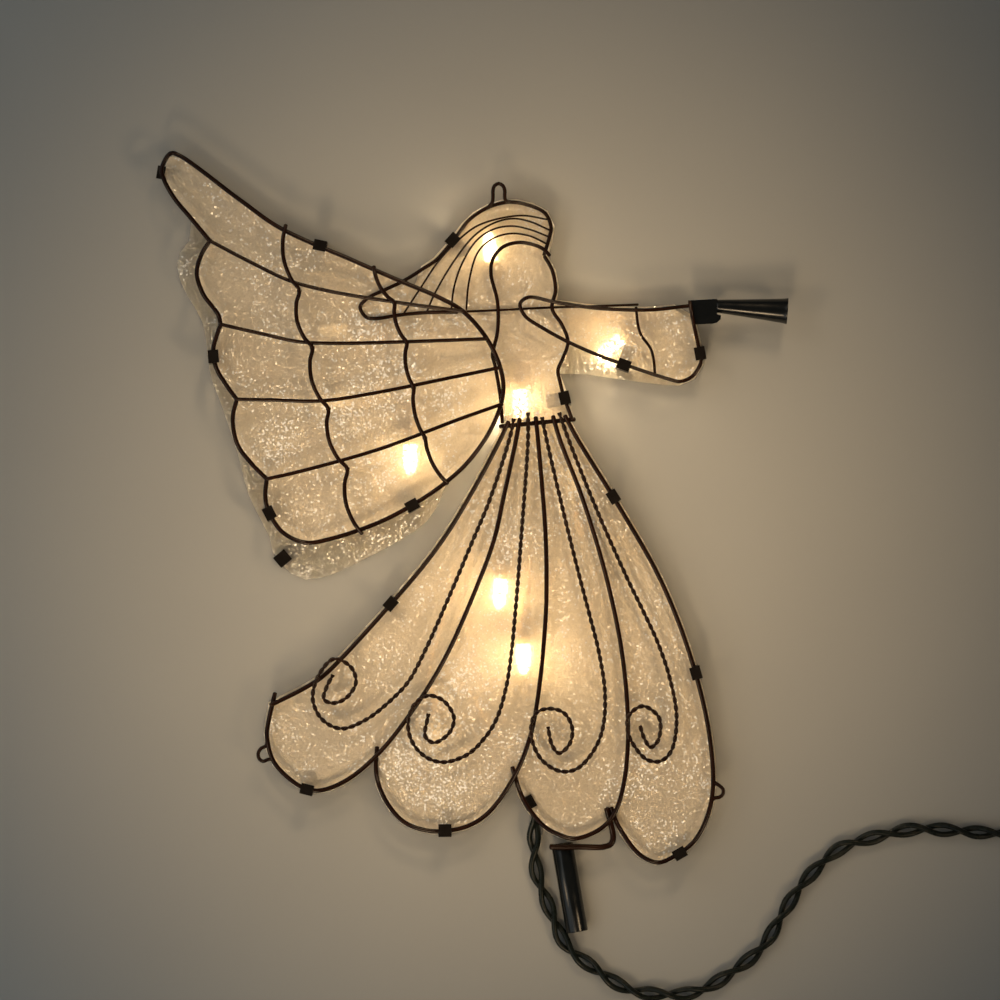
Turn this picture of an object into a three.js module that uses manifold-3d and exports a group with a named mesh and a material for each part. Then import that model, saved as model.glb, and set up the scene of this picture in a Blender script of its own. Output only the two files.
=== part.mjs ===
// Lighted angel tree topper: a welded wire figure with two sheets of glitter film, ten push-in lamps between them,
// a socket tube for the tree's leader and a twisted lead with a fused plug.
// Millimetres. It lies on its back: x to the right, y towards the head, z up through the front.
import * as THREE from "three";
import { mergeVertices } from "three/addons/utils/BufferGeometryUtils.js";
import Module from "manifold-3d";

const wasm = await Module();
wasm.setup();

// The whole figure, without its lead: from the wing tip's clip to the horn's bell, and from the socket tube's foot to
// the wing tip. The plan below is drawn at the second pair of sizes and stretched to the first.
const SPAN = 253.1;
const HEIGHT = 313.1;
const DRAWN = { span: 253.1, height: 313.1 };

// Clearances
const GAP = 0.3; // between two pieces that touch
const WELD = 0.2; // how far the wires of one welded frame sink into each other
const SOCKET_CLEARANCE = 0.3; // round a lamp's base in its holder, and round the fuse door in its track

// Wire diameters
const FRAME_WIRE = 1.8;
const RIB_WIRE = 1.6;
const HEAD_WIRE = 1.5; // hair, face and sleeve
const CUFF_WIRE = 1.2;
const STRAND_WIRE = 0.8;
const SHOULDER_WIRE = 1.0;
const LOOP_WIRE = 1.4;
const SCROLL_WIRE = 1.9; // over both twisted strands
const BRACKET_WIRE = 2.4;
const WIRE_SIDES = 6;

// Film and its clips
const FILM = 0.4;
const FILM_INSET = 0.4; // the front film's edge inside the wire's centre line
const BACK_MARGIN = 1.6; // the back film's edge outside it
const CLIP_SHEET = 0.8;
const CLIP_WEB = 1.1;
const CLIP_WIDTH = 5.2;
const CLIP_TOP_REACH = 2.0; // each leg's reach inside the wire's centre line
const CLIP_MIDDLE_REACH = 7.4;
const CLIP_BOTTOM_REACH = 8.4;
const CLIP_GRIP = 0.05; // from a clip's leg to the front film over it

// Lamps
const HOLDER_DIAMETER = 6.4;
const HOLDER_TAIL = 3.6;
const HOLDER_LENGTH = 14;
const LAMP_BASE = 4.0;
const LAMP_BASE_LENGTH = 7;
const LAMP_GLASS = 5.4;
const LAMP_GLASS_LENGTH = 16;
const LAMP_SIDES = 8;
const STRING_WIRE = 2.0;

// Horn
const HORN_THROAT = 5.8;
const HORN_BELL = 10.6;
const HORN_LENGTH = 27.9;
const HORN_WALL = 0.8;
const HORN_BORE_DEPTH = 13;
const HORN_TILT = -4.1;

// Socket tube
const TUBE_OUTSIDE = 8.8;
const TUBE_BORE = 7.6;
const TUBE_LENGTH = 36;
const TUBE_TOP = [24.8, 62.4];
const TUBE_TILT = 9.8;

// Lead, coil and plug
const CORD = 4.6; // over both twisted strands
const COIL_RADIUS = 30;
const COIL_TURNS = 5;
const COIL_PITCH = CORD + 0.6;
const COIL_LAYER = CORD + 0.5;
const COIL_TAIL = 36;
const TIE_SHEET = 0.6;
const TIE_WIDTH = 4;
const PLUG_LENGTH = 28;
const PLUG_WIDTH = 20;
const PLUG_HEIGHT = 14;
const BLADE = { length: 16, width: 6.3, sheet: 1.5, spacing: 12.7, seat: 6 };
const DOOR = { length: 13, width: 8.4, neck: 6.4, lip: 1.0, sheet: 2.2 };

// Plan of the wires, in points chosen along each one. A third number is a lift from the wire's level.
const CUSP_1 = [-116, 303.6];
const CUSP_2 = [-111.6, 270.2];
const CUSP_3 = [-105.2, 240.2];
const CUSP_4 = [-93.2, 208.4];
const WING_TIP = [CUSP_1, [-124, 313.2], [-130, 320.4], [-134.2, 327.8], [-135.2, 332.4], [-131.6, 338.6]];
const WING_TOP = [[-131.6, 338.6], [-128, 337.6], [-104, 320], [-88, 308.8], [-58.4, 295.6], [-40, 287.6],
  [-24, 280.8], [-14.8, 275.4]];
const WING_INNER = [[-14.8, 275.4], [-5.2, 264.4], [0.4, 252], [1.2, 242], [-3.6, 228.4], [-12.8, 215.2],
  [-21.2, 207.4]];
const WING_BOTTOM = [[-21.2, 207.4], [-32, 199.8], [-48, 191.2], [-68, 184.4], [-78, 183], [-87.2, 187.4],
  [-92.8, 196.4], [-93.8, 202], CUSP_4];
const FEATHER_2 = [CUSP_1, [-119.4, 298], [-121.2, 290.8], [-118.8, 282.6], [-112.6, 274], CUSP_2];
const FEATHER_3 = [CUSP_2, [-113.4, 265.2], [-114.6, 260], [-113.4, 252.8], [-109.4, 246], CUSP_3];
const FEATHER_4 = [CUSP_3, [-106.8, 233], [-105, 222.4], [-99.2, 214.4], CUSP_4];
const RIBS = [
  [CUSP_1, [-100, 295.2], [-84, 287.6], [-68, 283.4], [-40, 278.8], [-14.8, 275.4]],
  [CUSP_2, [-96, 266.6], [-80, 263.2], [-64, 262.6], [-38.4, 263.2], [-5.2, 264.4]],
  [CUSP_3, [-92, 240], [-71.6, 239.6], [-52, 242.4], [-20, 248.8], [0.4, 253]],
  [CUSP_4, [-80, 211.4], [-48, 220.4], [-16, 232.4], [1, 238.4]],
];
const CROSS_WIRES = [
  { bow: 3.5, cusps: [[-85.6, 309.8], [-80.2, 283.6], [-75, 260.8], [-68.6, 236.4], [-61, 212.4], [-55.2, 186.6]] },
  { bow: 1.8, cusps: [[-50.4, 293.2], [-42.2, 278.8], [-37.2, 262.8], [-34.5, 244.8], [-30, 224.8], [-21, 206.6]] },
];
const HAIR_CROWN = [[17.6, 298], [20, 306], [20.4, 309.6], [18, 314.8], [12, 317.8], [4, 319.2], [-4, 317.4],
  [-12, 312.4], [-18, 304.8], [-25.6, 296], [-30.4, 292.8], [-38.4, 287.8]];
const HAIR_TIP = [[-38.4, 287.8], [-46.8, 283.8], [-53.2, 280.6], [-56, 277.2], [-53.6, 273.2], [-50.8, 272.6],
  [-38.8, 274.2], [-29.6, 275], [-17.2, 275.2]];
const STRANDS = [
  [[19.2, 312.2], [8, 313.8], [-8, 310.2], [-16, 304.6], [-24.4, 295.8], [-31.8, 284.8], [-38.8, 274.2]],
  [[19.8, 308], [12, 311.4], [5.2, 312.6], [-2, 311], [-10, 306], [-18.4, 295.6], [-26.2, 282.4], [-29.4, 275]],
  [[19.8, 305.2], [12, 308.2], [4.8, 309.6], [-2.4, 308.4], [-9.2, 304], [-15, 295], [-18.4, 285], [-19.6, 275.2]],
  [[18.8, 302.4], [12, 305.6], [4, 306.6], [-3.2, 304.4], [-8.8, 299.2], [-12.4, 287.4], [-13.5, 276.4]],
];
const HANGING_LOOP = [[-4.2, 317.6], [-3, 319.2], [-2.8, 321.4], [-2.8, 323.9], [-2.2, 325.7], [-0.5, 326.6],
  [1.2, 325.7], [1.9, 323.9], [1.9, 321.4], [2.2, 319.9], [3.8, 319.3]];
const SHOULDER = [[-16.5, 275.3], [0, 276], [20, 277], [40, 277.6], [55.2, 278.2]];
const FACE_BACK = [[19.8, 297.8], [18.2, 299.6], [15.6, 301.3], [8, 303], [1.2, 301.2], [-2.8, 296.4],
  [-3.6, 290.4], [-1, 279.2], [-1, 267.2], [-3, 258], [-2, 253.8], [0.2, 240.8], [0.9, 231]];
const FACE_FRONT = [[17.8, 297.4], [20.8, 292], [22.2, 284], [20.8, 276.6], [24.8, 270], [27.2, 263.2],
  [25.2, 256.8], [23.2, 252], [24, 247.2], [25.7, 240.8], [28.7, 232.6]];
const SLEEVE_TOP = [[75.4, 277.6], [60, 276], [46, 276.2], [34, 277.2], [21.6, 279.2]];
const SLEEVE_BEND = [[21.6, 279.2], [11.2, 281], [8, 278.4], [10, 273.6], [18, 268.2], [27.2, 263.2]];
const SLEEVE_END = [[27.2, 263.2], [40, 257.6], [49.6, 254.2], [68, 248.2], [72, 247.4], [76.8, 249.4],
  [80.4, 255.6], [79.2, 262], [77, 272.5], [75.8, 279.2, 2.2]];
const CUFF = [[54.4, 277], [55.2, 270], [56.4, 266], [60.2, 260.6], [61.4, 256.4], [62, 250]];
const WAIST = [[0, 229.4], [29.8, 232.3]];
const SKIRT_LEFT = [[3.3, 231.2], [0, 224], [-8, 208.8], [-20, 188.4], [-28.8, 176], [-43.6, 158.4], [-64, 136],
  [-71.2, 129.2], [-78.8, 124.4], [-91.6, 118]];
const DIP = -(FRAME_WIRE + GAP); // a scallop's end runs under the next fold
const FOLD_SHAFTS = [
  [[7.9, 232.4], [6.4, 224], [1.2, 200], [-2.4, 184], [-10.8, 161.6], [-22, 136.8], [-34, 117.2], [-48.6, 98.6]],
  [[14.3, 233], [15.2, 224], [18, 190], [18.6, 172], [18.2, 152], [15, 120], [12, 105.2], [6.4, 90.8]],
  [[21.2, 233.4], [24, 224], [33.2, 200], [42.8, 168], [49.2, 136], [51.2, 106], [49.4, 86], [45.6, 74.4]],
  [[26, 233.6], [31.2, 224], [46, 200], [64.2, 168], [76.6, 136], [84, 104], [84.6, 80], [78, 64]],
];
const FOLD_SCALLOPS = [
  [[-48.6, 98.6], [-62, 87.6], [-72.8, 83.8], [-80, 85.6], [-90.4, 95.2], [-93.2, 106], [-92.4, 112.4, DIP / 2],
    [-91, 118.6, DIP], [-90, 122.6, DIP]],
  [[6.4, 90.8], [-4, 75.6], [-12, 70], [-22, 67.6], [-30, 68], [-38, 71], [-44, 77.2], [-48, 84.8],
    [-49.6, 92, DIP], [-49.2, 101, DIP]],
  [[45.6, 74.4], [40, 68.4], [30, 64.6], [23.2, 66.4], [17.6, 69.6], [12, 76], [8.6, 82], [6.4, 88, DIP],
    [5, 93, DIP]],
  [[78, 64], [68.4, 56.8], [63.2, 55], [58, 56.8], [54, 60], [48.6, 67.6], [46.4, 71.6, DIP], [44.6, 76.8, DIP]],
];
const EYELETS = [{ fold: 0, centre: [-94.6, 98] }, { fold: 3, centre: [87.4, 83.6] }];
const EYELET_RADIUS = 2.3;
const SCROLLS = [
  [[5.5, 232.4], [4, 225.2], [-4, 200.4], [-10.8, 184], [-20.4, 161.2], [-30.8, 138], [-36.8, 127.2], [-44, 119.6],
    [-53.6, 112.2], [-63.6, 108.6], [-71.2, 112.4], [-74.8, 120], [-73.2, 128.4], [-66.6, 136.4], [-59.6, 133.2],
    [-57.6, 127], [-61.6, 120.8], [-66.8, 118.8], [-70.4, 120.4], [-69.4, 125], [-66.8, 130]],
  [[11.2, 234.8], [11.2, 224], [8.4, 184], [7.2, 168], [4.4, 137.6], [2.2, 124], [-1.6, 112], [-6.4, 104.6],
    [-12.8, 98.4], [-22.4, 95.2], [-29.2, 97], [-34.6, 102.4], [-36.8, 110], [-34.4, 118], [-28.8, 121.8],
    [-22.4, 119.6], [-18.4, 112.8], [-20.4, 106.8], [-26.4, 103], [-29.8, 105.4], [-28.6, 114.4]],
  [[16.8, 233], [18.4, 225.2], [24.4, 199.2], [31.2, 171.6], [35.6, 154.8], [39.6, 138.8], [42, 122], [40.8, 107.6],
    [36.8, 98.8], [30.4, 92.4], [24, 91.6], [17.2, 95.6], [13.4, 102], [12.4, 108.8], [14.4, 114.8], [20, 116.6],
    [25.6, 114.8], [28.8, 109.2], [28, 102.8], [23.6, 98.8], [20.8, 102], [19.2, 109.2]],
  [[23.7, 234.8], [26.6, 226.4], [38.2, 197.2], [50.6, 169.2], [58, 154], [62.8, 143.6], [67.4, 130.4], [70.6, 113],
    [68.4, 99.6], [64, 95.6], [58.8, 96.2], [54, 101.2], [51.2, 107], [51.4, 113.6], [57, 117.6], [63.2, 113.6],
    [64.2, 108.8], [62.8, 103.2], [60.2, 101.2], [57.8, 104.4], [56, 109.6]],
];
const SCROLL_RISE = 6; // points over which a scroll climbs from the waist to its place in front of the folds
const BRACKET = [[20.4, 61.2], [32, 61.2], [41.5, 61.2], [44.5, 62.4], [45.3, 65.2], [44.4, 70], [42.8, 76.4]];
const WING_BACK_EDGE = [[-28, 193], [-40, 184], [-55, 176], [-68, 170], [-78, 168.2], [-85.6, 172], [-91, 179],
  [-92.6, 186], [-97, 194], [-101.4, 204], [-105, 218], [-108.6, 229], [-112, 239], [-115.8, 249], [-117.4, 259],
  [-118.4, 268], [-121, 275], [-125.4, 282], [-129.2, 291], [-128.4, 299], [-124.2, 304.4], [-120.4, 308]];
const SLEEVE_BACK_EDGE = [[62, 248.2], [44, 250.6], [29, 253]];
const HORN_BLOCK = [[75.2, 279.8], [86.9, 280.4], [86.9, 274.2], [88.4, 273.8], [88.2, 272.2], [86.8, 271],
  [85, 270.5], [77.6, 270.2]];
const HORN_DROP = 2.86; // the horn's axis below the block's top corner

// Film clips: a place on a wire, the way in from the edge in degrees, and the wire that it grips
const CLIPS = [
  { at: [-135, 331], inward: -9, grips: "frontFilm", reach: 0.9, tab: 4.8 },
  { at: [-72, 301.6], inward: -102, grips: "wing" },
  { at: [-114.4, 257.4], inward: 5, grips: "wing" },
  { at: [-92, 194.8], inward: 27, grips: "wing" },
  { at: [-35.2, 198], inward: 118, grips: "wing" },
  { at: [-18.8, 303.9], inward: -42, grips: "hair" },
  { at: [49.6, 254.2], inward: 70, grips: "sleeve" },
  { at: [79.8, 258.6], inward: 190, grips: "sleeve" },
  { at: [25.7, 240.8], inward: 193, grips: "face" },
  { at: [45.2, 201.2], inward: 212, grips: "skirt" },
  { at: [-43.6, 158.4], inward: -41, grips: "skirt" },
  { at: [78.2, 130.8], inward: 196, grips: "skirt" },
  { at: [-77.2, 84.4], inward: 76, grips: "skirt" },
  { at: [-22, 67.6], inward: 90, grips: "skirt", reach: 2.8 },
  { at: [71.8, 58.8], inward: 120, grips: "skirt" },
  { at: [11.6, 78.9], inward: 29, grips: "frontFilm", reach: 2.4 },
  { at: [-87.6, 176.2], inward: 40, grips: "backFilm", reach: 3.4 },
];

// Lamps: the mouth of the holder and the way that the lamp points, in degrees
const LAMPS = [
  { mouth: [-3.1, 292], points: 96 },
  { mouth: [52, 266.4], points: 215 },
  { mouth: [-57.6, 268], points: 180 },
  { mouth: [-57, 241.4], points: 190 },
  { mouth: [-36, 226], points: -90 },
  { mouth: [8, 248], points: -90 },
  { mouth: [31.4, 199], points: 100 },
  { mouth: [0.8, 172], points: -95 },
  { mouth: [9.4, 146], points: -90 },
  { mouth: [-27.4, 114], points: -80 },
];
// Wiring between the holders' tails, counted from 0, by way of hand-chosen points
const WIRING = [
  { from: 9, to: 7, by: [[-27, 140], [-16, 172], [-5, 191]] },
  { from: 7, to: 8, by: [[8, 189], [12, 178]] },
  { from: 8, to: 6, by: [[14, 168], [24, 172]] },
  { from: 6, to: 5, by: [[26, 188], [21, 204], [19, 222], [16, 240], [15, 256]] },
  { from: 5, to: 1, by: [[14, 269], [26, 272], [42, 273.4], [52, 273.8]] },
  { from: 5, to: 0, by: [[4, 268]] },
  { from: 0, to: 2, by: [[-6, 270], [-20, 268]] },
  { from: 2, to: 3, by: [[-36, 262], [-36, 250]] },
  { from: 3, to: 4, by: [[-38, 245]] },
];
const STRING_EXIT = [12.4, 82]; // where the wiring meets the lead, between the films
const STRING_EXIT_BY = [[-18, 128], [-2, 104]];

// The lead's route over the table to the coil
const LEAD_ROUTE = [[13.6, 75.6], [13.6, 62.8], [14.8, 50], [19.4, 37.2], [22.4, 29.4], [27, 20.8], [36.4, 13.2],
  [52, 3.6], [62, 2], [78.8, 2.8], [92, 10], [105.2, 20.8], [112.8, 33.2], [121.2, 46], [136, 60], [147.2, 64],
  [166, 68], [180, 67.6], [194, 66.6], [210, 66]];
const COIL_START = [241, 66];

// A point, or a list of them, from the drawn plan to the figure's own size
const plan = (points) => (typeof points[0] === "number"
  ? [(points[0] * SPAN) / DRAWN.span, (points[1] * HEIGHT) / DRAWN.height, ...points.slice(2)]
  : points.map(plan));

// Levels
const above = (z, lower, upper) => z + lower / 2 + GAP + upper / 2;
const BACK_FILM_Z = CLIP_SHEET + GAP;
const LAMP_Z = BACK_FILM_Z + FILM + GAP + HOLDER_DIAMETER / 2;
const FRONT_FILM_Z = LAMP_Z + HOLDER_DIAMETER / 2 + GAP;
const FILM_TOP = FRONT_FILM_Z + FILM;
const HAIR_Z = FILM_TOP + GAP + HEAD_WIRE / 2;
const STRAND_Z = HAIR_Z + HEAD_WIRE / 2 + STRAND_WIRE / 2 - WELD;
const LOOP_Z = HAIR_Z + HEAD_WIRE / 2 + LOOP_WIRE / 2 - WELD;
const SHOULDER_Z = HAIR_Z + HEAD_WIRE / 2 - SHOULDER_WIRE / 2;
const BRACKET_Z = FILM_TOP + GAP + BRACKET_WIRE / 2;
const FOLD_Z = above(BRACKET_Z, BRACKET_WIRE, FRAME_WIRE);
const WAIST_Z = FOLD_Z + DIP;
const FACE_Z = FOLD_Z;
const WING_Z = above(FACE_Z, HEAD_WIRE, FRAME_WIRE);
const RIB_Z = above(WING_Z, FRAME_WIRE, RIB_WIRE);
const CROSS_RISE = RIB_WIRE - WELD;
const SLEEVE_Z = above(FACE_Z, HEAD_WIRE, HEAD_WIRE);
const CUFF_Z = SLEEVE_Z - HEAD_WIRE / 2 - CUFF_WIRE / 2 + WELD;
const SCROLL_WAIST_Z = above(WAIST_Z, FRAME_WIRE, SCROLL_WIRE);
const SCROLL_Z = above(FOLD_Z, FRAME_WIRE, SCROLL_WIRE);
const TUBE_Z = BRACKET_Z - BRACKET_WIRE / 2 - GAP - TUBE_OUTSIDE / 2;
const LEAD_Z = CORD / 2 + GAP;
const COIL_Z = TIE_SHEET + GAP + CORD / 2;
const PLUG_Z = COIL_Z + COIL_LAYER;
const WIRE_TOP = {
  wing: WING_Z + FRAME_WIRE / 2,
  hair: STRAND_Z + STRAND_WIRE / 2,
  sleeve: SLEEVE_Z + HEAD_WIRE / 2,
  face: FACE_Z + HEAD_WIRE / 2,
  skirt: FOLD_Z + FRAME_WIRE / 2,
  frontFilm: FILM_TOP,
  backFilm: BACK_FILM_Z + FILM,
};

// Finishes
const finish = (color, roughness, metalness) => new THREE.MeshStandardMaterial({ color, roughness, metalness });
const WIRE = finish(0x1d1712, 0.35, 0.8);
const FILM_FINISH = finish(0xdcc79c, 0.6, 0);
const CLIP_FINISH = finish(0x171310, 0.5, 0.1);
const BLACK = finish(0x0d0f0e, 0.45, 0.2);
const GREEN = finish(0x10160f, 0.5, 0);
const LAMP_FINISH = finish(0xfff3d0, 0.1, 0);
const BRASS = finish(0xc9a75a, 0.3, 1);
const TIE_FINISH = finish(0x101010, 0.5, 0);

const radians = THREE.MathUtils.degToRad;

// Solids for joins and cuts
function solidOf(geometry) {
  const bare = geometry.clone();
  bare.deleteAttribute("normal");
  bare.deleteAttribute("uv");
  const merged = mergeVertices(bare, 1e-4);
  return new wasm.Manifold(new wasm.Mesh({
    numProp: 3,
    vertProperties: merged.attributes.position.array,
    triVerts: new Uint32Array(merged.index.array),
  }));
}

function geometryOf(solid) {
  const mesh = solid.getMesh();
  return new THREE.BufferGeometry()
    .setAttribute("position", new THREE.BufferAttribute(mesh.vertProperties, 3))
    .setIndex(new THREE.BufferAttribute(mesh.triVerts, 1));
}

const joined = (geometries) => geometryOf(geometries.map(solidOf).reduce((whole, next) => whole.add(next)));
const cut = (geometry, tools) =>
  geometryOf(tools.map(solidOf).reduce((whole, tool) => whole.subtract(tool), solidOf(geometry)));

// A round section with a given number of sides
function section(diameter, sides) {
  const corners = Array.from({ length: sides }, (_, i) => {
    const angle = (2 * Math.PI * i) / sides;
    return new THREE.Vector2(Math.cos(angle), Math.sin(angle)).multiplyScalar(diameter / 2);
  });
  return new THREE.Shape(corners);
}

const curveThrough = (points, z) =>
  new THREE.CatmullRomCurve3(points.map(([x, y, lift = 0]) => new THREE.Vector3(x, y, z + lift)), false, "centripetal");

function tube(curve, diameter, step, sides = WIRE_SIDES) {
  return new THREE.ExtrudeGeometry(section(diameter, sides), {
    steps: Math.max(1, Math.round(curve.getLength() / step)),
    bevelEnabled: false,
    extrudePath: curve,
  });
}

const wire = (points, z, diameter, step = 5.5) => tube(curveThrough(plan(points), z), diameter, step);

// Several stretches of one wire, given end to end
const chained = (...stretches) => stretches.flatMap((stretch, i) => (i ? stretch.slice(1) : stretch));

const group = new THREE.Group();
function add(name, geometry, material, parent = group) {
  const mesh = new THREE.Mesh(geometry, material.clone());
  mesh.name = name;
  parent.add(mesh);
  return mesh;
}

// Wing: the outline wire with its feather scallops, and in front of it the ribs with two scalloped cross wires
const WING_MAIN = chained(WING_TIP, WING_TOP, WING_INNER, WING_BOTTOM);
add("wing_outline_wire", joined([
  wire(WING_MAIN, WING_Z, FRAME_WIRE),
  ...[FEATHER_2, FEATHER_3, FEATHER_4].map((points) => wire(points, WING_Z, FRAME_WIRE)),
]), WIRE);

// A row of bows between cusps. The two ends come down from the ribs to the outline's front.
function scalloped({ bow, cusps }) {
  const points = [];
  for (let i = 0; i + 1 < cusps.length; i++) {
    const start = new THREE.Vector2(...cusps[i]);
    const run = new THREE.Vector2(...cusps[i + 1]).sub(start);
    const side = new THREE.Vector2(run.y, -run.x).normalize();
    for (const t of [0, 0.2, 0.5, 0.8]) {
      const at = start.clone().addScaledVector(run, t).addScaledVector(side, 4 * bow * t * (1 - t));
      points.push([at.x, at.y, CROSS_RISE]);
    }
  }
  points.push([...cusps.at(-1), 0]);
  points[0][2] = 0;
  return points;
}

add("wing_rib_grid", joined([
  ...RIBS.map((points) => wire(points, RIB_Z, RIB_WIRE, 7)),
  ...CROSS_WIRES.map((cross) => wire(scalloped(cross), RIB_Z, RIB_WIRE, 4)),
]), WIRE);

// Head, bodice and sleeve
add("hair_frame", joined([
  wire(chained(HAIR_CROWN, HAIR_TIP), HAIR_Z, HEAD_WIRE, 5),
  ...STRANDS.map((points) => wire(points, STRAND_Z, STRAND_WIRE, 7)),
  wire(HANGING_LOOP, LOOP_Z, LOOP_WIRE, 2.4),
]), WIRE);
add("shoulder_wire", wire(SHOULDER, SHOULDER_Z, SHOULDER_WIRE, 12), WIRE);
add("face_back_wire", wire(FACE_BACK, FACE_Z, HEAD_WIRE), WIRE);
add("face_front_wire", wire(FACE_FRONT, FACE_Z, HEAD_WIRE), WIRE);
add("sleeve_frame", joined([
  wire(chained(SLEEVE_TOP, SLEEVE_BEND, SLEEVE_END), SLEEVE_Z, HEAD_WIRE, 5),
  wire(CUFF, CUFF_Z, CUFF_WIRE, 5),
]), WIRE);

// Horn: a moulded block on the end of the sleeve, and the bell in front of it
const BLOCK_BOTTOM = FILM_TOP + GAP;
const BLOCK_TOP = SLEEVE_Z - HEAD_WIRE / 2 - GAP;
const plate = (points, z, thickness) => new THREE.ExtrudeGeometry(
  new THREE.Shape(points.map(([x, y]) => new THREE.Vector2(x, y))), { depth: thickness, bevelEnabled: false },
).translate(0, 0, z);
const blockPlan = plan(HORN_BLOCK);
const blockCorner = blockPlan[1];
add("horn_block", plate(blockPlan, BLOCK_BOTTOM, BLOCK_TOP - BLOCK_BOTTOM), BLACK);

const lathe = (profile, sides) => new THREE.LatheGeometry(profile.map(([r, y]) => new THREE.Vector2(r, y)), sides);
const HORN_SIDES = 20;
const horn = add("horn", lathe([
  [0, 0], [HORN_THROAT / 2, 0], [HORN_BELL / 2, HORN_LENGTH], [HORN_BELL / 2 - HORN_WALL, HORN_LENGTH],
  [HORN_THROAT / 2, HORN_LENGTH - HORN_BORE_DEPTH], [0, HORN_LENGTH - HORN_BORE_DEPTH],
], HORN_SIDES), BLACK);
horn.position.set(blockCorner[0] + GAP, blockCorner[1] - HORN_DROP, (BLOCK_BOTTOM + BLOCK_TOP) / 2);
horn.rotation.z = radians(HORN_TILT - 90);

// Skirt: folds that end in scallops, eyelets on the outer two, and the scrolls in front
const FOLD_NAMES = ["skirt_fold_1", "skirt_fold_2", "skirt_fold_3", "skirt_right_wire"];
add("waist_bar", wire(WAIST, WAIST_Z, FRAME_WIRE, 14), WIRE);
add("skirt_left_wire", wire(SKIRT_LEFT, FOLD_Z, FRAME_WIRE, 8), WIRE);
FOLD_NAMES.forEach((name, i) => {
  const fold = wire(chained(FOLD_SHAFTS[i], FOLD_SCALLOPS[i]), FOLD_Z, FRAME_WIRE, 6);
  const rings = EYELETS.filter((eyelet) => eyelet.fold === i).map(({ centre }) =>
    new THREE.TorusGeometry(EYELET_RADIUS, LOOP_WIRE / 2, WIRE_SIDES, 12).translate(...plan(centre), FOLD_Z));
  add(name, rings.length ? joined([fold, ...rings]) : fold, WIRE);
});
SCROLLS.forEach((points, i) => {
  const climb = SCROLL_Z - SCROLL_WAIST_Z;
  const lifted = points.map(([x, y], k) => [x, y, climb * Math.min(1, k / SCROLL_RISE)]);
  add(`scroll_${i + 1}`, wire(lifted, SCROLL_WAIST_Z, SCROLL_WIRE, 4.6), WIRE);
});

// Socket tube under its bracket
add("socket_bracket", wire(BRACKET, BRACKET_Z, BRACKET_WIRE, 3), WIRE);
const TUBE_SIDES = 20;
const socket = add("socket_tube", lathe([
  [TUBE_BORE / 2, 0], [TUBE_OUTSIDE / 2, 0], [TUBE_OUTSIDE / 2, TUBE_LENGTH], [TUBE_BORE / 2, TUBE_LENGTH],
  [TUBE_BORE / 2, 0],
], TUBE_SIDES), BLACK);
socket.position.set(...plan(TUBE_TOP), TUBE_Z);
socket.rotation.z = radians(180 + TUBE_TILT);

// Film clips: three legs on a web outside the wire, or two on a film's edge. Local x points in from the edge, local y
// is up.
const WEB_INNER = -(FRAME_WIRE / 2 + GAP);
const WEB_OUTER = WEB_INNER - CLIP_WEB;
function clipProfile({ grips, reach = CLIP_TOP_REACH, tab = reach }) {
  const top = WIRE_TOP[grips] + GAP;
  const middle = FRONT_FILM_Z - CLIP_GRIP;
  const onFront = grips === "frontFilm";
  const low = onFront ? middle - CLIP_SHEET : 0;
  const under = onFront ? tab : CLIP_BOTTOM_REACH;
  const outer = [[WEB_INNER, low + CLIP_SHEET], [under, low + CLIP_SHEET], [under, low], [WEB_OUTER, low],
    [WEB_OUTER, top + CLIP_SHEET], [reach, top + CLIP_SHEET], [reach, top], [WEB_INNER, top]];
  const leg = [[WEB_INNER, middle], [CLIP_MIDDLE_REACH, middle], [CLIP_MIDDLE_REACH, middle - CLIP_SHEET],
    [WEB_INNER, middle - CLIP_SHEET]];
  return grips.endsWith("Film") ? outer : [...outer, ...leg];
}
function placedClip({ at, inward }, profile, width) {
  return new THREE.ExtrudeGeometry(
    new THREE.Shape(profile.map(([x, y]) => new THREE.Vector2(x, y))), { depth: width, bevelEnabled: false },
  ).translate(0, 0, -width / 2).rotateX(Math.PI / 2).rotateZ(radians(inward)).translate(...plan(at), 0);
}
CLIPS.forEach((clip, i) =>
  add(`film_clip_${String(i + 1).padStart(2, "0")}`, placedClip(clip, clipProfile(clip), CLIP_WIDTH),
    CLIP_FINISH));
// The slots that let a clip's web through the back film
const CLIP_SLOTS = CLIPS.filter(({ grips }) => grips !== "frontFilm").map((clip) => placedClip(clip, [
  [WEB_INNER + GAP, BACK_FILM_Z - GAP], [WEB_INNER + GAP, BACK_FILM_Z + FILM + GAP],
  [WEB_OUTER - GAP, BACK_FILM_Z + FILM + GAP], [WEB_OUTER - GAP, BACK_FILM_Z - GAP],
], CLIP_WIDTH + 2 * GAP));

// Films. An edge is a stretch of a wire's curve in plan, with the film's margin outside it.
function edge(points, margin, step = 6) {
  const curve = new THREE.SplineCurve(plan(points).map(([x, y]) => new THREE.Vector2(x, y)));
  const count = Math.max(1, Math.round(curve.getLength() / step));
  return curve.getSpacedPoints(count).slice(0, -1).map((at) => ({ at, margin }));
}
// A closed outline from its edges in order, each point moved out along the outline's normal by its margin
function outline(edges) {
  const ring = edges.flat();
  return ring.map(({ at, margin }, i) => {
    const before = ring.at(i - 1).at;
    const after = ring[(i + 1) % ring.length].at;
    const along = after.clone().sub(before).normalize();
    return [at.x - along.y * margin, at.y + along.x * margin];
  });
}
const back = (points) => [...points].reverse();
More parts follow.
